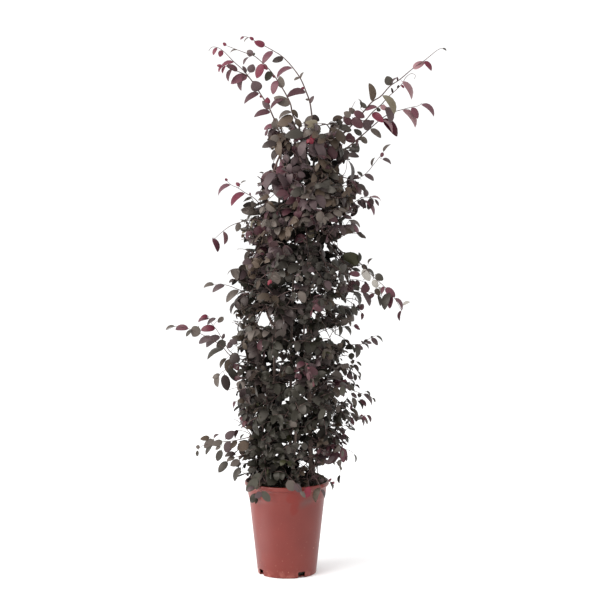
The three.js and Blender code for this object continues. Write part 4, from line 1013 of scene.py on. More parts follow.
class Growth:
    def __init__(self, seed, tier):
        self.draw = seeded_draws(seed)
        self.fine = seeded_draws(seed + FINE_SEEDS)
        self.tier = tier

    def jitter(self, amount):
        return (self.draw() * 2 - 1) * amount

    def vary(self, amount):
        return (self.fine() * 2 - 1) * amount

    def between(self, low, high):
        return low + (high - low) * self.fine()

    def deal(self, zone):
        return dealt(SHARES[zone], self.fine())

    def grow(self, route, kind, tint, roll=0.0):
        twigs.append(Twig(route, kind, tint, roll))
        return twigs[-1]

    # A leaf: where it starts, where it points, its upper side and its size. Unless it has a
    # place of its own it is left out where another leaf, a limb, the pot or open sky is.
    def add_leaf(self, base, ahead, normal, length, width, bow, tint, clearance=None):
        if tint in YOUNG_TINTS:
            length, width = length * YOUNG_SIZE, width * YOUNG_SIZE
        normal = unit(normal - ahead * normal.dot(ahead))
        turns = MARK_SHARES * bow
        along = np.outer(np.sin(turns) / bow * length, ahead)
        line = base + along - np.outer((1 - np.cos(turns)) / bow * length, normal)
        half = np.cross(normal, ahead) * width * MARK_WIDTH
        marks = [line[1], line[1] + half, line[1] - half, line[3]]
        if clearance is not None:
            edges = [line, line[:3] + half * GAP_WIDTH, line[:3] - half * GAP_WIDTH]
            if any(in_pot(mark) for mark in marks) or in_sky_gap(np.concatenate(edges)):
                return False
            if not room.is_free(marks, clearance):
                return False
        room.take(marks)
        fold = self.between(*FOLD_RANGE)
        sweep = self.vary(SWEEP)
        leaves.append(Leaf(base, ahead, normal, length, width, bow, fold, sweep, tint))
        return True

    # A leaf with a place of its own: X and Z of its base and tip, the breadth it shows to
    # the front, and its colour. It starts on the nearest wood, or on a fine stalk from it,
    # and is turned until its real breadth shows as that.
    def place_leaf(self, wood, leaf):
        x, z, tip_x, tip_z, shown, tint = leaf
        away = np.hypot(wood[:, 0] - x, wood[:, 2] - z)
        root = wood[int(np.argmin(away))]
        base = root
        if away.min() > STALK_FROM:
            base = vec(x, root[1], z)
            bend = (root + base) / 2 + UP * away.min() * STALK_LIFT
            self.grow(bent(root, bend, base, 6), "stalk", tint)
        span = math.hypot(tip_x - base[0], tip_z - base[2])
        tip = vec(tip_x, base[1] + self.vary(PLACED["depth"]) * span, tip_z)
        chord = (tip - base) * PLACED["longer"]
        along = unit(chord)
        shown = shown * PLACED["wider"]
        breadth = max(shown, PLACED["breadth"] * span)
        tilt = math.acos(max(shown / breadth, PLACED["edge_on"]))
        aside = unit(np.cross(along, TO_FRONT))
        aside = aside if aside[2] > 0 else -aside
        normal = TO_FRONT * math.cos(tilt) + aside * math.sin(tilt)
        normal = unit(normal - along * normal.dot(along))
        bow = lerp(PLACED["bow"], math.sin(tilt)) + self.vary(PLACED["bow_jitter"])
        half = bow / 2
        ahead = along * math.cos(half) + normal * math.sin(half)
        facing = normal * math.cos(half) - along * math.sin(half)
        length = np.linalg.norm(chord) * half / math.sin(half)
        self.add_leaf(base, ahead, facing, length, breadth, bow, tint)

    # Leaves alternate along a twig, hang a little, and show their upper side outwards
    def dress(self, twig, scale=1.0, overhang=None):
        habit = HABITS[twig.kind]
        length = twig.route.length
        outwards = self.between(*habit["outwards"])
        hang = self.between(*habit["hang"])
        spacing = habit["spacing"] * crowding(scale)
        left = self.fine() < 0.5
        for mark in np.arange(habit["first"], length, spacing):
            share = min((mark + self.vary(MARK_JITTER) * spacing) / length, LAST_MARK)
            base = twig.route.at(share)
            left = not left
            if overhang is not None and not in_crown(base, overhang):
                continue
            self.dress_point(twig, share, base, left, scale, outwards, hang)
        self.add_tip(twig, habit["size"]["length"] * scale * habit["taper"][1])

    def dress_point(self, twig, share, base, left, scale, outwards, hang):
        habit = HABITS[twig.kind]
        size = habit["size"]
        ahead, right, above = twig.frame(share)
        outward = unit(vec(base[0] - crown_at(base[2])[0], base[1], 1e-3))
        length = size["length"] * scale * lerp(habit["taper"], share)
        length *= self.between(*LENGTH_RANGE)
        width = length * size["width"] / size["length"] * self.between(*WIDTH_RANGE)
        tint = twig.tint_at(share)
        if twig.kind in ("sprig", "twig") and self.fine() < STRAY_SHARE:
            tint = self.deal(zone_of(base, 1))
        upright = self.fine() < UPRIGHT["share"]
        falling = hang * (UPRIGHT["hang"] if upright else 1)
        below = habit["below"] * (UPRIGHT["below"] if upright else 1)
        for attempt in range(TRIES):
            aside = right if (attempt % 2 == 0) == left else -right
            direction = unit(
                ahead * self.between(*AHEAD_RANGE) + aside * habit["aside"]
                - above * below * self.between(*BELOW_RANGE)
                - UP * (falling + self.vary(FALL_JITTER))
            )
            normal = above * (1 - outwards) + outward * outwards + ahead * habit["forward"]
            normal = normal + vec(*(self.vary(habit["twist"]) for _ in range(3)))
            start = base + aside * twig.radius_at(share) * 0.5
            bow = self.between(*habit["bow"])
            if self.add_leaf(start, direction, normal, length, width, bow, tint,
                             habit["room"] * crowding(scale)):
                break
        if twig.kind == "shoot" and self.fine() < BUD["share"]:
            rising = unit(ahead * BUD["ahead"] - right * BUD["aside"]
                          + UP * self.between(*BUD["rise"]))
            size = self.between(*BUD["scale"])
            self.add_leaf(base, rising, above, BUD["length"] * size, BUD["width"] * size,
                          BUD["bow"], "crimson", BUD["room"])

    def add_tip(self, twig, length):
        ahead, right, above = twig.frame(1)
        tint = twig.tint_at(1.0)
        for leaf in TIP_LEAVES:
            direction = unit(ahead + right * leaf["aside"] - UP * TIP["fall"])
            own = length * leaf["size"] * self.between(*TIP["length"])
            width = own * self.between(*TIP["width"])
            bow = self.between(*TIP["bow"])
            self.add_leaf(twig.route.at(1), direction, above, own, width, bow, tint, TIP["room"])


# Points along twigs that finer wood and placed leaves can start from

BEARING_SHARES = np.linspace(0.1, 1, 12)
MASS_SHARES = np.linspace(0, 1, 80)
HEAD_SHARES = np.linspace(0, 1, 120)


def wood_points(grown, shares):
    return np.concatenate([twig.route.at(shares) for twig in grown])


def nearest_along(route, point):
    shares = np.arange(25) / 24
    away = np.linalg.norm(route.at(shares) - point, axis=1)
    return shares[int(np.argmin(away))]


def from_nearest(parent, path):
    return through([parent.at(nearest_along(parent, vec(*path[0]))), *path])


def place_leaves(growth, grown, placed, shares):
    wood = wood_points(grown, shares)
    for leaf in placed:
        growth.place_leaf(wood, leaf)


def grow_bearing(growth, stem, azimuth):
    aims = [(row, column) for row, columns in AIMS.items() for column in columns]
    bearing = []
    for index, (row, column) in enumerate(aims):
        root = stem.at(lerp(TWIG_ROOTS, index / (len(aims) - 1)))
        turn = azimuth + (column + growth.jitter(AIM_JITTER["column"])) * SECTOR
        share = min(row + growth.jitter(AIM_JITTER["row"]), HIGHEST_AIM)
        reach = AIM_REACH + growth.jitter(AIM_JITTER["reach"])
        tip = crown_point(growth.tier, turn, share, reach)
        lift = TWIG_LIFT["by"] + growth.jitter(TWIG_LIFT["jitter"])
        route = bent(root, (root + tip) / 2 + UP * lift, tip)
        bearing.append(growth.grow(route, "twig", growth.deal(zone_of(route.points[-1], 1))))
    return bearing


# A sprig starts on the wood already there, where it is about the best length away
# from where it aims

def sprig_route(growth, wood, azimuth, row, column, reach):
    turn = azimuth + (column + growth.vary(SPRIG_JITTER["column"])) * SECTOR
    share = min(max(row + growth.vary(SPRIG_JITTER["row"]), 0), 1)
    tip = crown_point(growth.tier, turn, share, reach)
    away = np.linalg.norm(wood - tip, axis=1)
    cost = np.abs(away - SPRIG_LENGTH["best"])
    cost = cost + SPRIG_FALL_COST * np.maximum(wood[:, 2] - tip[2], 0)
    cost[(away < SPRIG_LENGTH["least"]) | (away > SPRIG_LENGTH["most"])] = np.inf
    best = int(np.argmin(cost))
    if not np.isfinite(cost[best]):
        return None
    root = wood[best]
    lift = SPRIG_LIFT["share"] * away[best] + growth.vary(SPRIG_LIFT["jitter"])
    return bent(root, (root + tip) / 2 + UP * lift, tip, 10)


def grow_sprigs(growth, wood, azimuth):
    aims = [(row, column, aim["reach"])
            for aim in SPRIG_AIMS for row in aim["rows"] for column in aim["columns"]]
    sprigs = []
    for row, column, reaches in aims:
        reach = growth.between(*reaches)
        route = sprig_route(growth, wood, azimuth, row, column, reach)
        if route is None or in_sky_gap(route.at(SPRIG_SIGHTS)):
            continue
        tint = growth.deal(zone_of(route.points[-1], reach))
        sprigs.append(growth.grow(route, "sprig", tint, growth.vary(FINE_ROLL)))
    return sprigs


# A spray reaches out of the crown to a tip of its own, from the wood nearest to it

def grow_spray(growth, wood, tip, young):
    away = np.linalg.norm(wood - tip, axis=1)
    root = wood[int(np.argmin(away))]
    lift = SPRAY_LIFT["share"] * away.min() + growth.vary(SPRAY_LIFT["jitter"])
    route = bent(root, (root + tip) / 2 + UP * lift, tip, 12)
    tint = shoot_tint(growth, young)
    return growth.grow(route, "spray", tint, growth.vary(FINE_ROLL))


def grow_shoot(growth, stem, path):
    roll = SHOOT_ROLL["by"] + growth.jitter(SHOOT_ROLL["jitter"])
    route = from_nearest(stem, path).shortened(TIP_LEAF)
    return growth.grow(route, "shoot", shoot_tint(growth), roll)


# Colours along a shoot, from root to tip

def shoot_tint(growth, young=()):
    root = growth.deal("shoot_root")
    tip = growth.deal("shoot_tip")

    def at(share):
        if young and share > YOUNG_SHARE:
            return young[0]
        change = TIP_COLOUR_FROM["share"] + growth.vary(TIP_COLOUR_FROM["jitter"])
        return tip if share > change else root

    return at


def grow_mass(mass, limb, seed):
    azimuth, scale = mass["azimuth"], mass.get("scale", 1.0)
    growth = Growth(seed, mass["tier"])
    start = limb.points[-1]
    crest = crown_point(mass["tier"], azimuth, CREST["share"], CREST["reach"])
    stem = bent(start, start + limb.ahead(1) * STEM_BEND, crest)
    rising = growth.grow(stem, "stem", growth.deal("inside"))
    bearing = grow_bearing(growth, stem, azimuth)
    wood = wood_points([rising, *bearing], BEARING_SHARES)
    shoots = [grow_shoot(growth, stem, path) for path in mass.get("shoots", ())]
    arms = [growth.grow(from_nearest(stem, path), "shoot", "dusk")
            for path in mass.get("arms", ())]
    sprigs = grow_sprigs(growth, wood, azimuth)
    sprays = [grow_spray(growth, wood, vec(x, y, z), young)
              for x, y, z, *young in mass.get("sprays", ())]
    if "placed" in mass:
        place_leaves(growth, arms + shoots + sprays, mass["placed"], MASS_SHARES)
    for shoot in shoots + sprays:
        growth.dress(shoot, scale)
    for twig in bearing + sprigs + [rising]:
        growth.dress(twig, scale * growth.between(*SPRIG_SCALE), OVERHANG)


def grow_head_shoot(shoot, limb, seed):
    growth = Growth(seed, len(TIERS) - 2)
    start = limb.points[-1]
    main, *sides = shoot["paths"]
    points = [start, start + limb.ahead(1) * STRAIGHT_START, *(vec(*point) for point in main)]
    arms = [growth.grow(through(points), "head", "dusk")]
    for path in sides:
        arms.append(growth.grow(from_nearest(arms[0].route, path), "head_arm", "dusk"))
    place_leaves(growth, arms, shoot["placed"], HEAD_SHARES)


# Leaves as meshes: an upper and an under side that meet at the rim, folded along the
# midrib, quilted between the side veins and bent down towards the tip

STATIONS = np.array([0.0, 0.06, 0.1, 0.22, 0.38, 0.56, 0.74, 0.9, 1.0])
BREADTHS = np.array([0.09, 0.09, 0.46, 0.84, 1.0, 0.98, 0.8, 0.44, 0.02])
QUILTING = np.array([0, 0, 0, 1, -1, 1, -1, 0, 0]) * 0.012
ACROSS = np.array([-1.0, -0.55, 0.0, 0.55, 1.0])
THICKNESS = 0.35
FOLD_RANGE = (0.1, 0.5)
SWEEP = 0.25
SWEEP_ASIDE = 0.4
EDGE_DROOP = 0.28


def leaf_triangles(stations, breadth):
    first = (np.arange(stations - 1)[:, None] * breadth + np.arange(breadth - 1)).ravel()
    after = first + breadth
    return np.concatenate([
        np.stack([first, first + 1, after + 1], 1),
        np.stack([first, after + 1, after], 1),
    ])


def leaf_arrays(chosen):
    columns = [np.array(column) for column in zip(*chosen)]
    base, ahead, normal = columns[:3]
    length, width, bow, fold, sweep = (column[:, None] for column in columns[3:8])
    across = np.cross(normal, ahead)
    turn = bow * STATIONS
    along = np.sin(turn) / bow * length
    down = (1 - np.cos(turn)) / bow * length
    aside = sweep * STATIONS ** 2 * length * SWEEP_ASIDE
    half = BREADTHS * width / 2
    spread = half[:, :, None] * ACROSS
    inner = 1 - ACROSS ** 2
    rise = (
        np.abs(spread) * fold[:, :, None]
        - half[:, :, None] * EDGE_DROOP * ACROSS ** 2
        + QUILTING[None, :, None] * length[:, :, None] * inner * np.abs(ACROSS) * 2
    )
    facing = (
        np.cos(turn)[:, :, None] * normal[:, None, :]
        + np.sin(turn)[:, :, None] * ahead[:, None, :]
    )
    middle = (
        base[:, None, None, :]
        + ahead[:, None, None, :] * along[:, :, None, None]
        - normal[:, None, None, :] * down[:, :, None, None]
        + across[:, None, None, :] * (spread + aside[:, :, None])[:, :, :, None]
    )
    upper = middle + facing[:, :, None, :] * rise[:, :, :, None]
    lower = upper - facing[:, :, None, :] * (THICKNESS * inner)[None, None, :, None]
    return upper, lower


def leaf_piece(name, chosen, materials):
    points = np.concatenate([side.reshape(-1, 3) for side in leaf_arrays(chosen)])
    per_side = len(STATIONS) * len(ACROSS)
    sheet = leaf_triangles(len(STATIONS), len(ACROSS))
    starts = (np.arange(len(chosen)) * per_side)[:, None, None]
    top = (sheet[None] + starts).reshape(-1, 3)
    bottom = (sheet[None, :, ::-1] + starts).reshape(-1, 3) + len(chosen) * per_side
    slots = np.repeat([0, 1], len(top))
    return mesh_object(name, points, np.concatenate([top, bottom]), materials, slots)


# Materials: the shader's own constants, and textures that lead into it

# A colour mix by the places of its sockets
MIX = {"below": 6, "above": 7, "result": 2}


class Surface:
    def __init__(self, name, constants):
        self.material = bpy.data.materials.new(name)
        self.material.use_nodes = True
        self.tree = self.material.node_tree
        self.shader = self.tree.nodes["Principled BSDF"]
        self.fill(self.shader, constants)

    def fill(self, node, values):
        for key, value in values.items():
            if isinstance(value, bpy.types.NodeSocket):
                self.tree.links.new(value, node.inputs[key])
            else:
                node.inputs[key].default_value = value

    def node(self, kind, values, **settings):
        node = self.tree.nodes.new("ShaderNode" + kind)
        for setting, value in settings.items():
            setattr(node, setting, value)
        self.fill(node, values)
        return node

    def place(self):
        return self.node("TexCoord", {}).outputs["Object"]

    def noise(self, scale, detail, stretch=(1, 1, 1)):
        mapping = self.node("Mapping", {"Vector": self.place(), "Scale": stretch})
        values = {"Vector": mapping.outputs["Vector"], "Scale": scale, "Detail": detail}
        return self.node("TexNoise", values).outputs["Fac"]

    def ramp(self, factor, stops):
        node = self.node("ValToRGB", {"Fac": factor})
        elements = node.color_ramp.elements
        while len(elements) < len(stops):
            elements.new(0.5)
        for element, (position, colour) in zip(elements, stops):
            element.position = position
            element.color = (*colour, 1)
        return node.outputs["Color"]

    def maths(self, operation, first, second, clamp=True):
        values = {0: first, 1: second}
        node = self.node("Math", values, operation=operation, use_clamp=clamp)
        return node.outputs["Value"]

    def mapped(self, value, low, high):
        values = {"Value": value, "From Min": low, "From Max": high}
        return self.node("MapRange", values).outputs["Result"]

    def blended(self, factor, below, above):
        values = {"Factor": factor, MIX["below"]: below, MIX["above"]: (*above, 1)}
        return self.node("Mix", values, data_type="RGBA").outputs[MIX["result"]]

    def bump(self, height, distance, strength=1.0):
        values = {"Height": height, "Distance": distance, "Strength": strength}
        self.fill(self.shader, {"Normal": self.node("Bump", values).outputs["Normal"]})


def grained_material(name, constants, texture, stops, relief):
    surface = Surface(name, constants)
    grain = surface.noise(*texture)
    surface.fill(surface.shader, {"Base Color": surface.ramp(grain, stops)})
    surface.bump(grain, relief)
    return surface.material


def bark_material():
    return grained_material("bark", {"Roughness": 0.8}, (160, 5, (1, 1, 0.25)), [
        (0.3, (0.055, 0.036, 0.03)), (0.55, (0.13, 0.09, 0.075)), (0.75, (0.24, 0.18, 0.15)),
    ], 0.0008)


def twig_material():
    constants = {"Roughness": 0.7, "Specular IOR Level": 0.25}
    return grained_material("twig_bark", constants, (240, 3, (1, 1, 0.4)), [
        (0.3, (0.035, 0.019, 0.018)), (0.6, (0.1, 0.062, 0.055)), (0.8, (0.2, 0.145, 0.13)),
    ], 0.0003)


def soil_material(name, low, high):
    return grained_material(name, {"Roughness": 0.95}, (180, 6), [(0.35, low), (0.7, high)], 0.002)


# Leaves are paler below, apart from the near-black ones of painted shade inside the crown and the
# darkest young ones

# The head's leaves are all made paler: painted backlight through the top of the plant.
PAINTED_BACKLIGHT = {"crown_leaves": 1, "head_leaves": 1.18}
UNDERSIDE = (0.115, 0.085, 0.078)
UNDERSIDE_SHARE = 0.28
DARK_TINTS = ("night", "claret")
GLOSS = {
    "upper": {"Roughness": 0.42, "Sheen Weight": 0.03, "Specular IOR Level": 0.28},
    "under": {"Roughness": 0.6, "Sheen Weight": 0.05, "Specular IOR Level": 0.28},
    "dark_upper": {"Roughness": 0.6, "Sheen Weight": 0, "Specular IOR Level": 0.12},
    "dark_under": {"Roughness": 0.7, "Sheen Weight": 0, "Specular IOR Level": 0.1},
}


def leaf_material(name, colour, gloss):
    leaf = Surface(name, {
        "Base Color": (*colour, 1), "Specular Tint": (1, 0.92, 0.84, 1),
        "Sheen Roughness": 0.45, **GLOSS[gloss],
    })
    values = {"Vector": leaf.place(), "Scale": 420}
    cells = leaf.node("TexVoronoi", values, feature="DISTANCE_TO_EDGE")
    leaf.bump(cells.outputs["Distance"], 0.0004, 0.5)
    return leaf.material


def leaf_materials(group, tint):
    colour = [part * PAINTED_BACKLIGHT[group] for part in TINTS[tint]]
    name = f"{group}_{tint}"
    if tint in DARK_TINTS:
        return [leaf_material(f"{name}_{side}", colour, f"dark_{side}") for side in ("upper", "under")]
    under = [(1 - UNDERSIDE_SHARE) * own + UNDERSIDE_SHARE * pale
             for own, pale in zip(colour, UNDERSIDE)]
    return [
        leaf_material(f"{name}_upper", colour, "upper"),
        leaf_material(f"{name}_under", under, "under"),
    ]


# The pot's plastic: two reds in clouds, brighter red blots and a grey blot of painted leaf
# shadow below the rim, scuffs round the foot and specks of lime. Lengths in its textures are metres.

POT_COLOURS = {
    "dark": (0.124, 0.0165, 0.012),
    "light": (0.16, 0.024, 0.017),
    "red": (0.14, 0.011, 0.006),
    # grey: the painted shadow of a leaf on the pot's front
    "grey": (0.09, 0.035, 0.03),
    "worn": (0.36, 0.13, 0.1),
    "speck": (0.5, 0.24, 0.16),
}
BLOT = {"front": -BASE_RADIUS - 20, "depth": 60, "edge": 1.25, "wobble": 0.5}


def blot(surface, middle, size, turn, fade):
    """A soft-edged oval on the pot's front, from its middle and half sizes in X and Z."""
    mapping = surface.node("Mapping", {
        "Vector": surface.place(),
        "Location": Vector((middle[0], BLOT["front"], middle[1])) * MM,
        "Rotation": (0, math.radians(turn), 0),
        "Scale": Vector((size[0], BLOT["depth"], size[1])) * MM,
    }, vector_type="TEXTURE")
    length = surface.node("VectorMath", {0: mapping.outputs["Vector"]}, operation="LENGTH")
    wobble = surface.maths("MULTIPLY", surface.noise(90, 2), BLOT["wobble"])
    away = surface.maths("ADD", length.outputs["Value"], wobble, clamp=False)
    return surface.mapped(away, BLOT["edge"], BLOT["edge"] - fade)


def pot_material():
    pot = Surface("pot_plastic", {"Roughness": 0.36, "Specular IOR Level": 0.35})
    stops = [(0.3, POT_COLOURS["dark"]), (0.7, POT_COLOURS["light"])]
    colour = pot.ramp(pot.noise(9, 3), stops)
    red = pot.maths("MAXIMUM", blot(pot, (15, 197), (18, 18), 0, 0.3),
                    blot(pot, (19, 174), (12, 24), 12, 0.35))
    colour = pot.blended(red, colour, POT_COLOURS["red"])
    # A grey blot of painted shadow, where a leaf's shadow falls on the pot below the rim.
    grey = pot.maths("MULTIPLY", blot(pot, (50, 186), (32, 13), -32, 0.8), 0.8)
    colour = pot.blended(grey, colour, POT_COLOURS["grey"])
    height = pot.node("SeparateXYZ", {"Vector": pot.place()}).outputs["Z"]
    scuffs = pot.maths("MULTIPLY", pot.mapped(pot.noise(60, 4), 0.45, 0.62), 0.45)
    worn = pot.maths("MULTIPLY", pot.mapped(height, 0.02, 0.004), scuffs)
    colour = pot.blended(worn, colour, POT_COLOURS["worn"])
    specks = pot.mapped(pot.noise(330, 1), 0.755, 0.775)
    specks = pot.maths("MULTIPLY", specks, pot.mapped(height, 0.16, 0.05))
    colour = pot.blended(specks, colour, POT_COLOURS["speck"])
    pot.fill(pot.shader, {"Base Color": colour})
    pot.bump(pot.noise(900, 2), 0.00012, 0.6)
    return pot.material


# The pot: one shell turned about its axis, with drainage notches. Each corner has its
# radius, its height and its rounding.

COLLAR_LEVEL = POT_HEIGHT - COLLAR_DEPTH
LIP_LEVEL = POT_HEIGHT - LIP_DEPTH
POT_PROFILE = [
    (0, 0, 0),
    (BASE_RADIUS - BASE_CHAMFER, 0, 1.2),
    (BASE_RADIUS, BASE_CHAMFER, 1.2),
    (SHOULDER_RADIUS, COLLAR_LEVEL - WALL, 9),
    (COLLAR_RADIUS, COLLAR_LEVEL + 5, 9),
    (THROAT_RADIUS, LIP_LEVEL - 2, 4),
    (RIM_RADIUS - 0.8, LIP_LEVEL + 1.5, 3),
    (RIM_RADIUS, LIP_LEVEL + 3, 1),
    (RIM_RADIUS, POT_HEIGHT - 2, 1.4),
    (RIM_RADIUS - 1.6, POT_HEIGHT, 1),
    (RIM_RADIUS - 4, POT_HEIGHT, 2),
    (THROAT_RADIUS - WALL, LIP_LEVEL, 2),
    (COLLAR_RADIUS - WALL, COLLAR_LEVEL + WALL / 2, 1),
    (SHOULDER_RADIUS - WALL, COLLAR_LEVEL - WALL, 1),
    (BASE_RADIUS - WALL - 0.3, FLOOR + BASE_CHAMFER, 1),
    (BASE_RADIUS - WALL - BASE_CHAMFER, FLOOR, 1),
    (0, FLOOR, 0),
]
SHARP_ANGLE = 38
ROUNDING_LIMIT = 0.45
MERGE_DISTANCE = 1e-6


def rounded(profile, steps=4):
    corners = [np.array(corner[:2], float) for corner in profile]
    line = [corners[0]]
    for before, corner, after, (*_, radius) in zip(corners, corners[1:], corners[2:], profile[1:]):
        back = min(radius, ROUNDING_LIMIT * np.linalg.norm(before - corner))
        on = min(radius, ROUNDING_LIMIT * np.linalg.norm(after - corner))
        start = corner + unit(before - corner) * back
        end = corner + unit(after - corner) * on
        for t in np.linspace(0, 1, steps + 1):
            line.append((1 - t) ** 2 * start + 2 * t * (1 - t) * corner + t ** 2 * end)
    line.append(corners[-1])
    return np.array(line)


def turned_arrays(profile, sides):
    turns = np.arange(sides) * 2 * math.pi / sides
    points = np.stack([
        profile[:, None, 0] * np.cos(turns),
        profile[:, None, 0] * np.sin(turns),
        profile[:, None, 1] * np.ones(sides),
    ], -1)
    faces = tube_triangles(len(profile), sides)
    return points.reshape(-1, 3), faces[faces.max(axis=1) < len(profile) * sides]


def merge(made):
    work = bmesh.new()
    work.from_mesh(made.data)
    bmesh.ops.remove_doubles(work, verts=work.verts, dist=MERGE_DISTANCE)
    bmesh.ops.dissolve_degenerate(work, dist=MERGE_DISTANCE, edges=work.edges)
    bmesh.ops.recalc_face_normals(work, faces=work.faces)
    work.to_mesh(made.data)
    work.free()
    made.data.update()


def notch_cutter(azimuth):
    work = bmesh.new()
    bmesh.ops.create_cube(work, size=1)
    scale = Vector((2 * NOTCH_DEPTH, NOTCH_WIDTH, 2 * NOTCH_HEIGHT)) * MM
    bmesh.ops.scale(work, vec=scale, verts=work.verts)
    upper_edges = [edge for edge in work.edges
                   if all(vertex.co.z > 0 for vertex in edge.verts)
                   and abs(edge.verts[0].co.x - edge.verts[1].co.x) > MERGE_DISTANCE]
    bmesh.ops.bevel(work, geom=upper_edges, offset=NOTCH_ROUNDING * MM, segments=5,
                    affect="EDGES", profile=0.5)
    bmesh.ops.translate(work, vec=(BASE_RADIUS * MM, 0, 0), verts=work.verts)
    turn = math.radians(azimuth)
    for vertex in work.verts:
        x, y, z = vertex.co
        vertex.co = (x * math.cos(turn) - y * math.sin(turn),
                     x * math.sin(turn) + y * math.cos(turn), z)
    mesh = bpy.data.meshes.new("notch")
    work.to_mesh(mesh)
    work.free()
    return new_object("notch", mesh)


def cut(made, cutter):
    modifier = made.modifiers.new("cut", "BOOLEAN")
    modifier.operation = "DIFFERENCE"
    modifier.solver = "EXACT"
    modifier.object = cutter
    evaluated = made.evaluated_get(bpy.context.evaluated_depsgraph_get())
    mesh = bpy.data.meshes.new_from_object(evaluated)
    made.modifiers.clear()
    made.data = mesh
    bpy.data.objects.remove(cutter)


def build_pot():
    points, faces = turned_arrays(rounded(POT_PROFILE), POT_SIDES)
    pot = mesh_object("pot_shell", points, faces, [pot_material()])
    merge(pot)
    for notch in range(NOTCHES):
        cut(pot, notch_cutter(NOTCH_AZIMUTH + 360 / NOTCHES * notch))
    pot.data.shade_smooth()
    pot.data.set_sharp_from_angle(angle=math.radians(SHARP_ANGLE))
    settle(pot, "pot", "pot")


# The soil: it fills the pot, heaped towards the main stem, with crumbs and rootlets on it

SOIL_COLOURS = {
    "compost": [(0.012, 0.009, 0.006), (0.05, 0.036, 0.024)],
    "compost_crumbs": [(0.02, 0.015, 0.009), (0.085, 0.066, 0.04)],
    "compost_fibres": [(0.1, 0.07, 0.045), (0.3, 0.24, 0.17)],
}
SOIL_CLEARANCE = GAP + 0.2
SHOULDER_STEP = 4
LUMPS = {"scale": 0.06, "dimension": 0.9, "gain": 2.1, "octaves": 5}
CRUMBS = {"number": 1100, "heaped_within": 34, "margin": 5, "least": 0.8, "spread": 2.6}
FIBRES = {"number": 90, "points": 5, "step": 4, "margin": 4, "turn": 1.4,
          "radius": 0.34, "taper": 0.2, "sides": 5, "ring": 2.5}


def inner_wall(z):
    if z > COLLAR_LEVEL:
        share = (z - COLLAR_LEVEL) / (LIP_LEVEL - COLLAR_LEVEL)
        return lerp((COLLAR_RADIUS, THROAT_RADIUS), share) - WALL
    return lerp((BASE_RADIUS, SHOULDER_RADIUS), z / COLLAR_LEVEL) - WALL


def rough_soil(x, y):
    point = Vector((x, y, 0)) * LUMPS["scale"]
    lumps = noise.fractal(point, LUMPS["dimension"], LUMPS["gain"], LUMPS["octaves"])
    return soil_height(x, y) + SOIL_ROUGHNESS * lumps


def compost_arrays():
    edge = inner_wall(SOIL_LEVEL) - SOIL_CLEARANCE
    shoulder = inner_wall(COLLAR_LEVEL - SHOULDER_STEP) - SOIL_CLEARANCE - 0.2
    profile = [
        (0, FLOOR + GAP),
        (inner_wall(0) - SOIL_CORNER, FLOOR + GAP),
        (inner_wall(SOIL_CORNER) - SOIL_CLEARANCE, FLOOR + SOIL_CORNER),
        (shoulder, COLLAR_LEVEL - SHOULDER_STEP),
        (shoulder, COLLAR_LEVEL + WALL),
    ]
    profile += [(edge * ring / SOIL_RINGS, SOIL_LEVEL) for ring in range(SOIL_RINGS, -1, -1)]
    points, faces = turned_arrays(np.array(profile, float), SOIL_SIDES)
    for point in points:
        if point[2] > SOIL_LEVEL - 0.01:
            point[2] = rough_soil(point[0], point[1])
    return points, faces


def soil_spot(draw, spread=1.0):
    turn = draw() * 2 * math.pi
    away = math.sqrt(draw()) * (inner_wall(SOIL_LEVEL) - CRUMBS["margin"]) * spread
    return math.cos(turn) * away, math.sin(turn) * away


def crumb_arrays():
    draw = seeded_draws(31)
    work = bmesh.new()
    bmesh.ops.create_icosphere(work, subdivisions=1, radius=1)
    work.verts.ensure_lookup_table()
    ball = np.array([vertex.co for vertex in work.verts])
    faces = np.array([[vertex.index for vertex in face.verts] for face in work.faces])
    work.free()
    heap = Heap()
    for index in range(CRUMBS["number"]):
        if index % 3:
            x, y = soil_spot(draw)
        else:
            turn = draw() * 2 * math.pi
            away = math.sqrt(draw()) * CRUMBS["heaped_within"]
            x, y = MOUND["x"] + math.cos(turn) * away, MOUND["y"] + math.sin(turn) * away
        if math.hypot(x, y) > inner_wall(SOIL_LEVEL) - CRUMBS["margin"]:
            continue
        size = CRUMBS["least"] + CRUMBS["spread"] * draw() ** 3
        lumps = np.array([1 + 0.5 * (draw() - 0.5) for _ in ball])[:, None]
        squash = vec(1 + 0.4 * draw(), 1, 0.6 + 0.3 * draw())
        place = vec(x, y, rough_soil(x, y) + size * 0.25)
        heap.add(ball * lumps * size * squash + place, faces)
    return heap.arrays()


def fibre_arrays():
    draw = seeded_draws(47)
    heap = Heap()

    def radius(share):
        return FIBRES["radius"] - FIBRES["taper"] * share

    for _ in range(FIBRES["number"]):
        x, y = soil_spot(draw, 0.9)
        turn = draw() * 2 * math.pi
        points = []
        for _ in range(FIBRES["points"]):
            points.append((x, y, rough_soil(x, y) + 0.5 + 1.6 * draw()))
            turn += (draw() - 0.5) * FIBRES["turn"]
            x += math.cos(turn) * FIBRES["step"]
            y += math.sin(turn) * FIBRES["step"]
            if math.hypot(x, y) > inner_wall(SOIL_LEVEL) - FIBRES["margin"]:
                break
        if len(points) > 2:
            heap.add(*tube(through(points), radius, FIBRES["sides"], FIBRES["ring"]))
    return heap.arrays()


def build_soil():
    made = {"compost": compost_arrays, "compost_crumbs": crumb_arrays,
            "compost_fibres": fibre_arrays}
    for name, arrays in made.items():
        piece = mesh_object(name, *arrays(), [soil_material(name, *SOIL_COLOURS[name])])
        if name == "compost":
            merge(piece)
            settle(piece, "soil", "soil")
        else:
            settle(piece, "soil")


# The limbs with their bark's relief: ridges and finer grain, each with its depth and its
# scale round the limb and along it

RIDGES = {"depth": 0.1, "round": 1.3, "along": 0.035}
GRAIN = {"depth": 0.07, "round": 3, "along": 0.16}
STEM_MESH = {"sides": 18, "step": 5}
BOUGH_MESH = {"sides": 14, "step": 4}


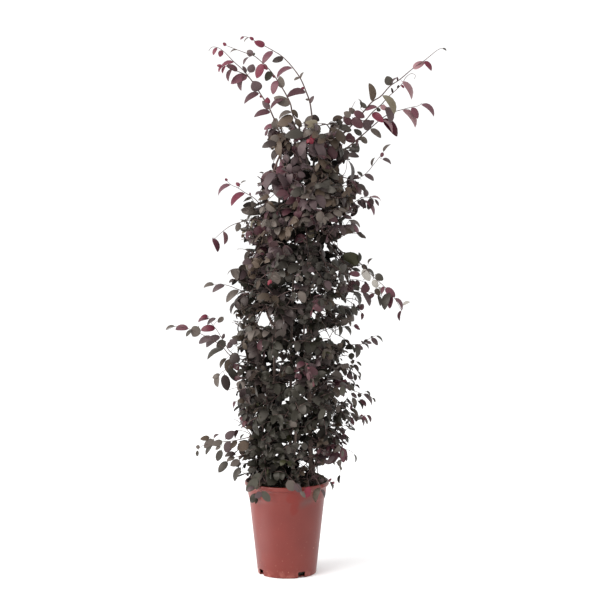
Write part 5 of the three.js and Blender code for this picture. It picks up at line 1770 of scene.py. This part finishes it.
def bark_relief(seed):
    def height(layer, turn, mark):
        around = (math.cos(turn) * layer["round"], math.sin(turn) * layer["round"])
        return layer["depth"] * noise.noise(Vector((*around, mark * layer["along"] + seed)))

    def at(distance, turns):
        return np.array([
            [height(RIDGES, turn, mark) + height(GRAIN, turn, mark) for turn in turns]
            for mark in distance
        ])

    return at


def build_limbs(routes, boughs):
    heap = Heap()
    for index, stem in enumerate(STEMS):
        route = routes[stem["name"]]
        radius = stem_radius(stem, route.length)
        heap.add(*tube(route, radius, relief=bark_relief(index * 7), **STEM_MESH))
    for index, route in enumerate(boughs.values()):
        radius = bough_radius(route.length)
        heap.add(*tube(route, radius, relief=bark_relief(40 + index * 5), **BOUGH_MESH))
    limbs = mesh_object("limbs_bark", *heap.arrays(), [bark_material()])
    settle(limbs, "bark", *routes, *boughs)


def build_twigs(shown, name, nodes):
    heap = Heap()
    for twig in shown:
        heap.add(*tube(twig.route, twig.radius_at, twig.sides, twig.step))
    settle(mesh_object(name, *heap.arrays(), [twig_material()]), "bark", *nodes)


def build_leaves(chosen, group, slot, nodes):
    for tint in TINTS:
        of_tint = [leaf for leaf in chosen if leaf.tint == tint]
        if of_tint:
            piece = leaf_piece(f"{group}_{tint}", of_tint, leaf_materials(group, tint))
            settle(piece, slot, *nodes)


# Stage: a pale floor, soft light and the camera. Places are metres.

FLOOR_RADIUS = 9
SKY_STRENGTH = 1.1
KEY = {"place": (-3.1, -2.2, 2.5), "target": (0, 0, 0.7), "size": 4.4, "power": 240}
POOL = {"place": (-1.12, -0.32, 1.0), "target": (-0.33, -0.1, 0), "cone": 15, "power": 165}
CAMERA = {"sensor": 36, "lens": 102.4, "dip": 4.99}


def build_stage():
    bpy.ops.mesh.primitive_circle_add(vertices=96, radius=FLOOR_RADIUS, fill_type="NGON")
    floor = bpy.context.object
    floor.name = "floor"
    white = {"Base Color": (1, 1, 1, 1), "Roughness": 1, "Specular IOR Level": 0}
    floor.data.materials.append(Surface("floor", white).material)

    bpy.context.scene.view_settings.view_transform = "Standard"
    world = bpy.data.worlds.new("studio")
    bpy.context.scene.world = world
    world.use_nodes = True
    background = world.node_tree.nodes["Background"]
    background.inputs["Color"].default_value = (1, 1, 1, 1)
    background.inputs["Strength"].default_value = SKY_STRENGTH


def add_light(name, kind, plan, **settings):
    light = bpy.data.lights.new(name, kind)
    light.energy = plan["power"]
    for setting, value in settings.items():
        setattr(light, setting, value)
    lamp = new_object(name, light)
    lamp.location = plan["place"]
    towards = Vector(plan["target"]) - Vector(plan["place"])
    lamp.rotation_euler = towards.to_track_quat("-Z", "Y").to_euler()


def build_camera():
    data = bpy.data.cameras.new("camera")
    data.sensor_width = CAMERA["sensor"]
    data.lens = CAMERA["lens"]
    camera = new_object("camera", data)
    camera.location = Vector(VIEWPOINT) * MM
    camera.rotation_euler = (math.radians(90 - CAMERA["dip"]), 0, 0)
    bpy.context.scene.camera = camera


LIMB_MARKS = 240
FIRST_SEED = 101

build_stage()
build_camera()
add_light("key", "AREA", KEY, shape="DISK", size=KEY["size"])
add_light("pool", "SPOT", POOL, spot_size=math.radians(POOL["cone"]), spot_blend=0.8,
          shadow_soft_size=0.1)
build_pot()
build_soil()

stem_routes = {stem["name"]: stem_route(stem) for stem in STEMS}
boughs = {}
limb_ends = dict(stem_routes)
for plan in HEAD_SHOOTS + MASSES:
    if "bough" in plan:
        name = plan["name"].replace("foliage", "bough").replace("shoot", "bough")
        boughs[name] = bough_route(stem_routes, plan["bough"])
        limb_ends[plan["name"]] = boughs[name]
build_limbs(stem_routes, boughs)

for route in stem_routes.values():
    room.take(route.at(np.linspace(0, 1, LIMB_MARKS)))

for index, shoot in enumerate(HEAD_SHOOTS):
    grow_head_shoot(shoot, limb_ends[shoot.get("limb", shoot["name"])], FIRST_SEED + index)
head_leaves = len(leaves)
head_twigs = len(twigs)
for index, mass in enumerate(MASSES):
    seed = FIRST_SEED + len(HEAD_SHOOTS) + index
    grow_mass(mass, limb_ends[mass.get("limb", mass["name"])], seed)

mass_names = [mass["name"] for mass in MASSES]
shoot_names = [shoot["name"] for shoot in HEAD_SHOOTS]
build_twigs(twigs[head_twigs:], "crown_twigs", mass_names)
build_twigs(twigs[:head_twigs], "head_twigs", shoot_names)
build_leaves(leaves[head_leaves:], "crown_leaves", "foliage", mass_names)
build_leaves(leaves[:head_leaves], "head_leaves", "young_foliage", shoot_names)
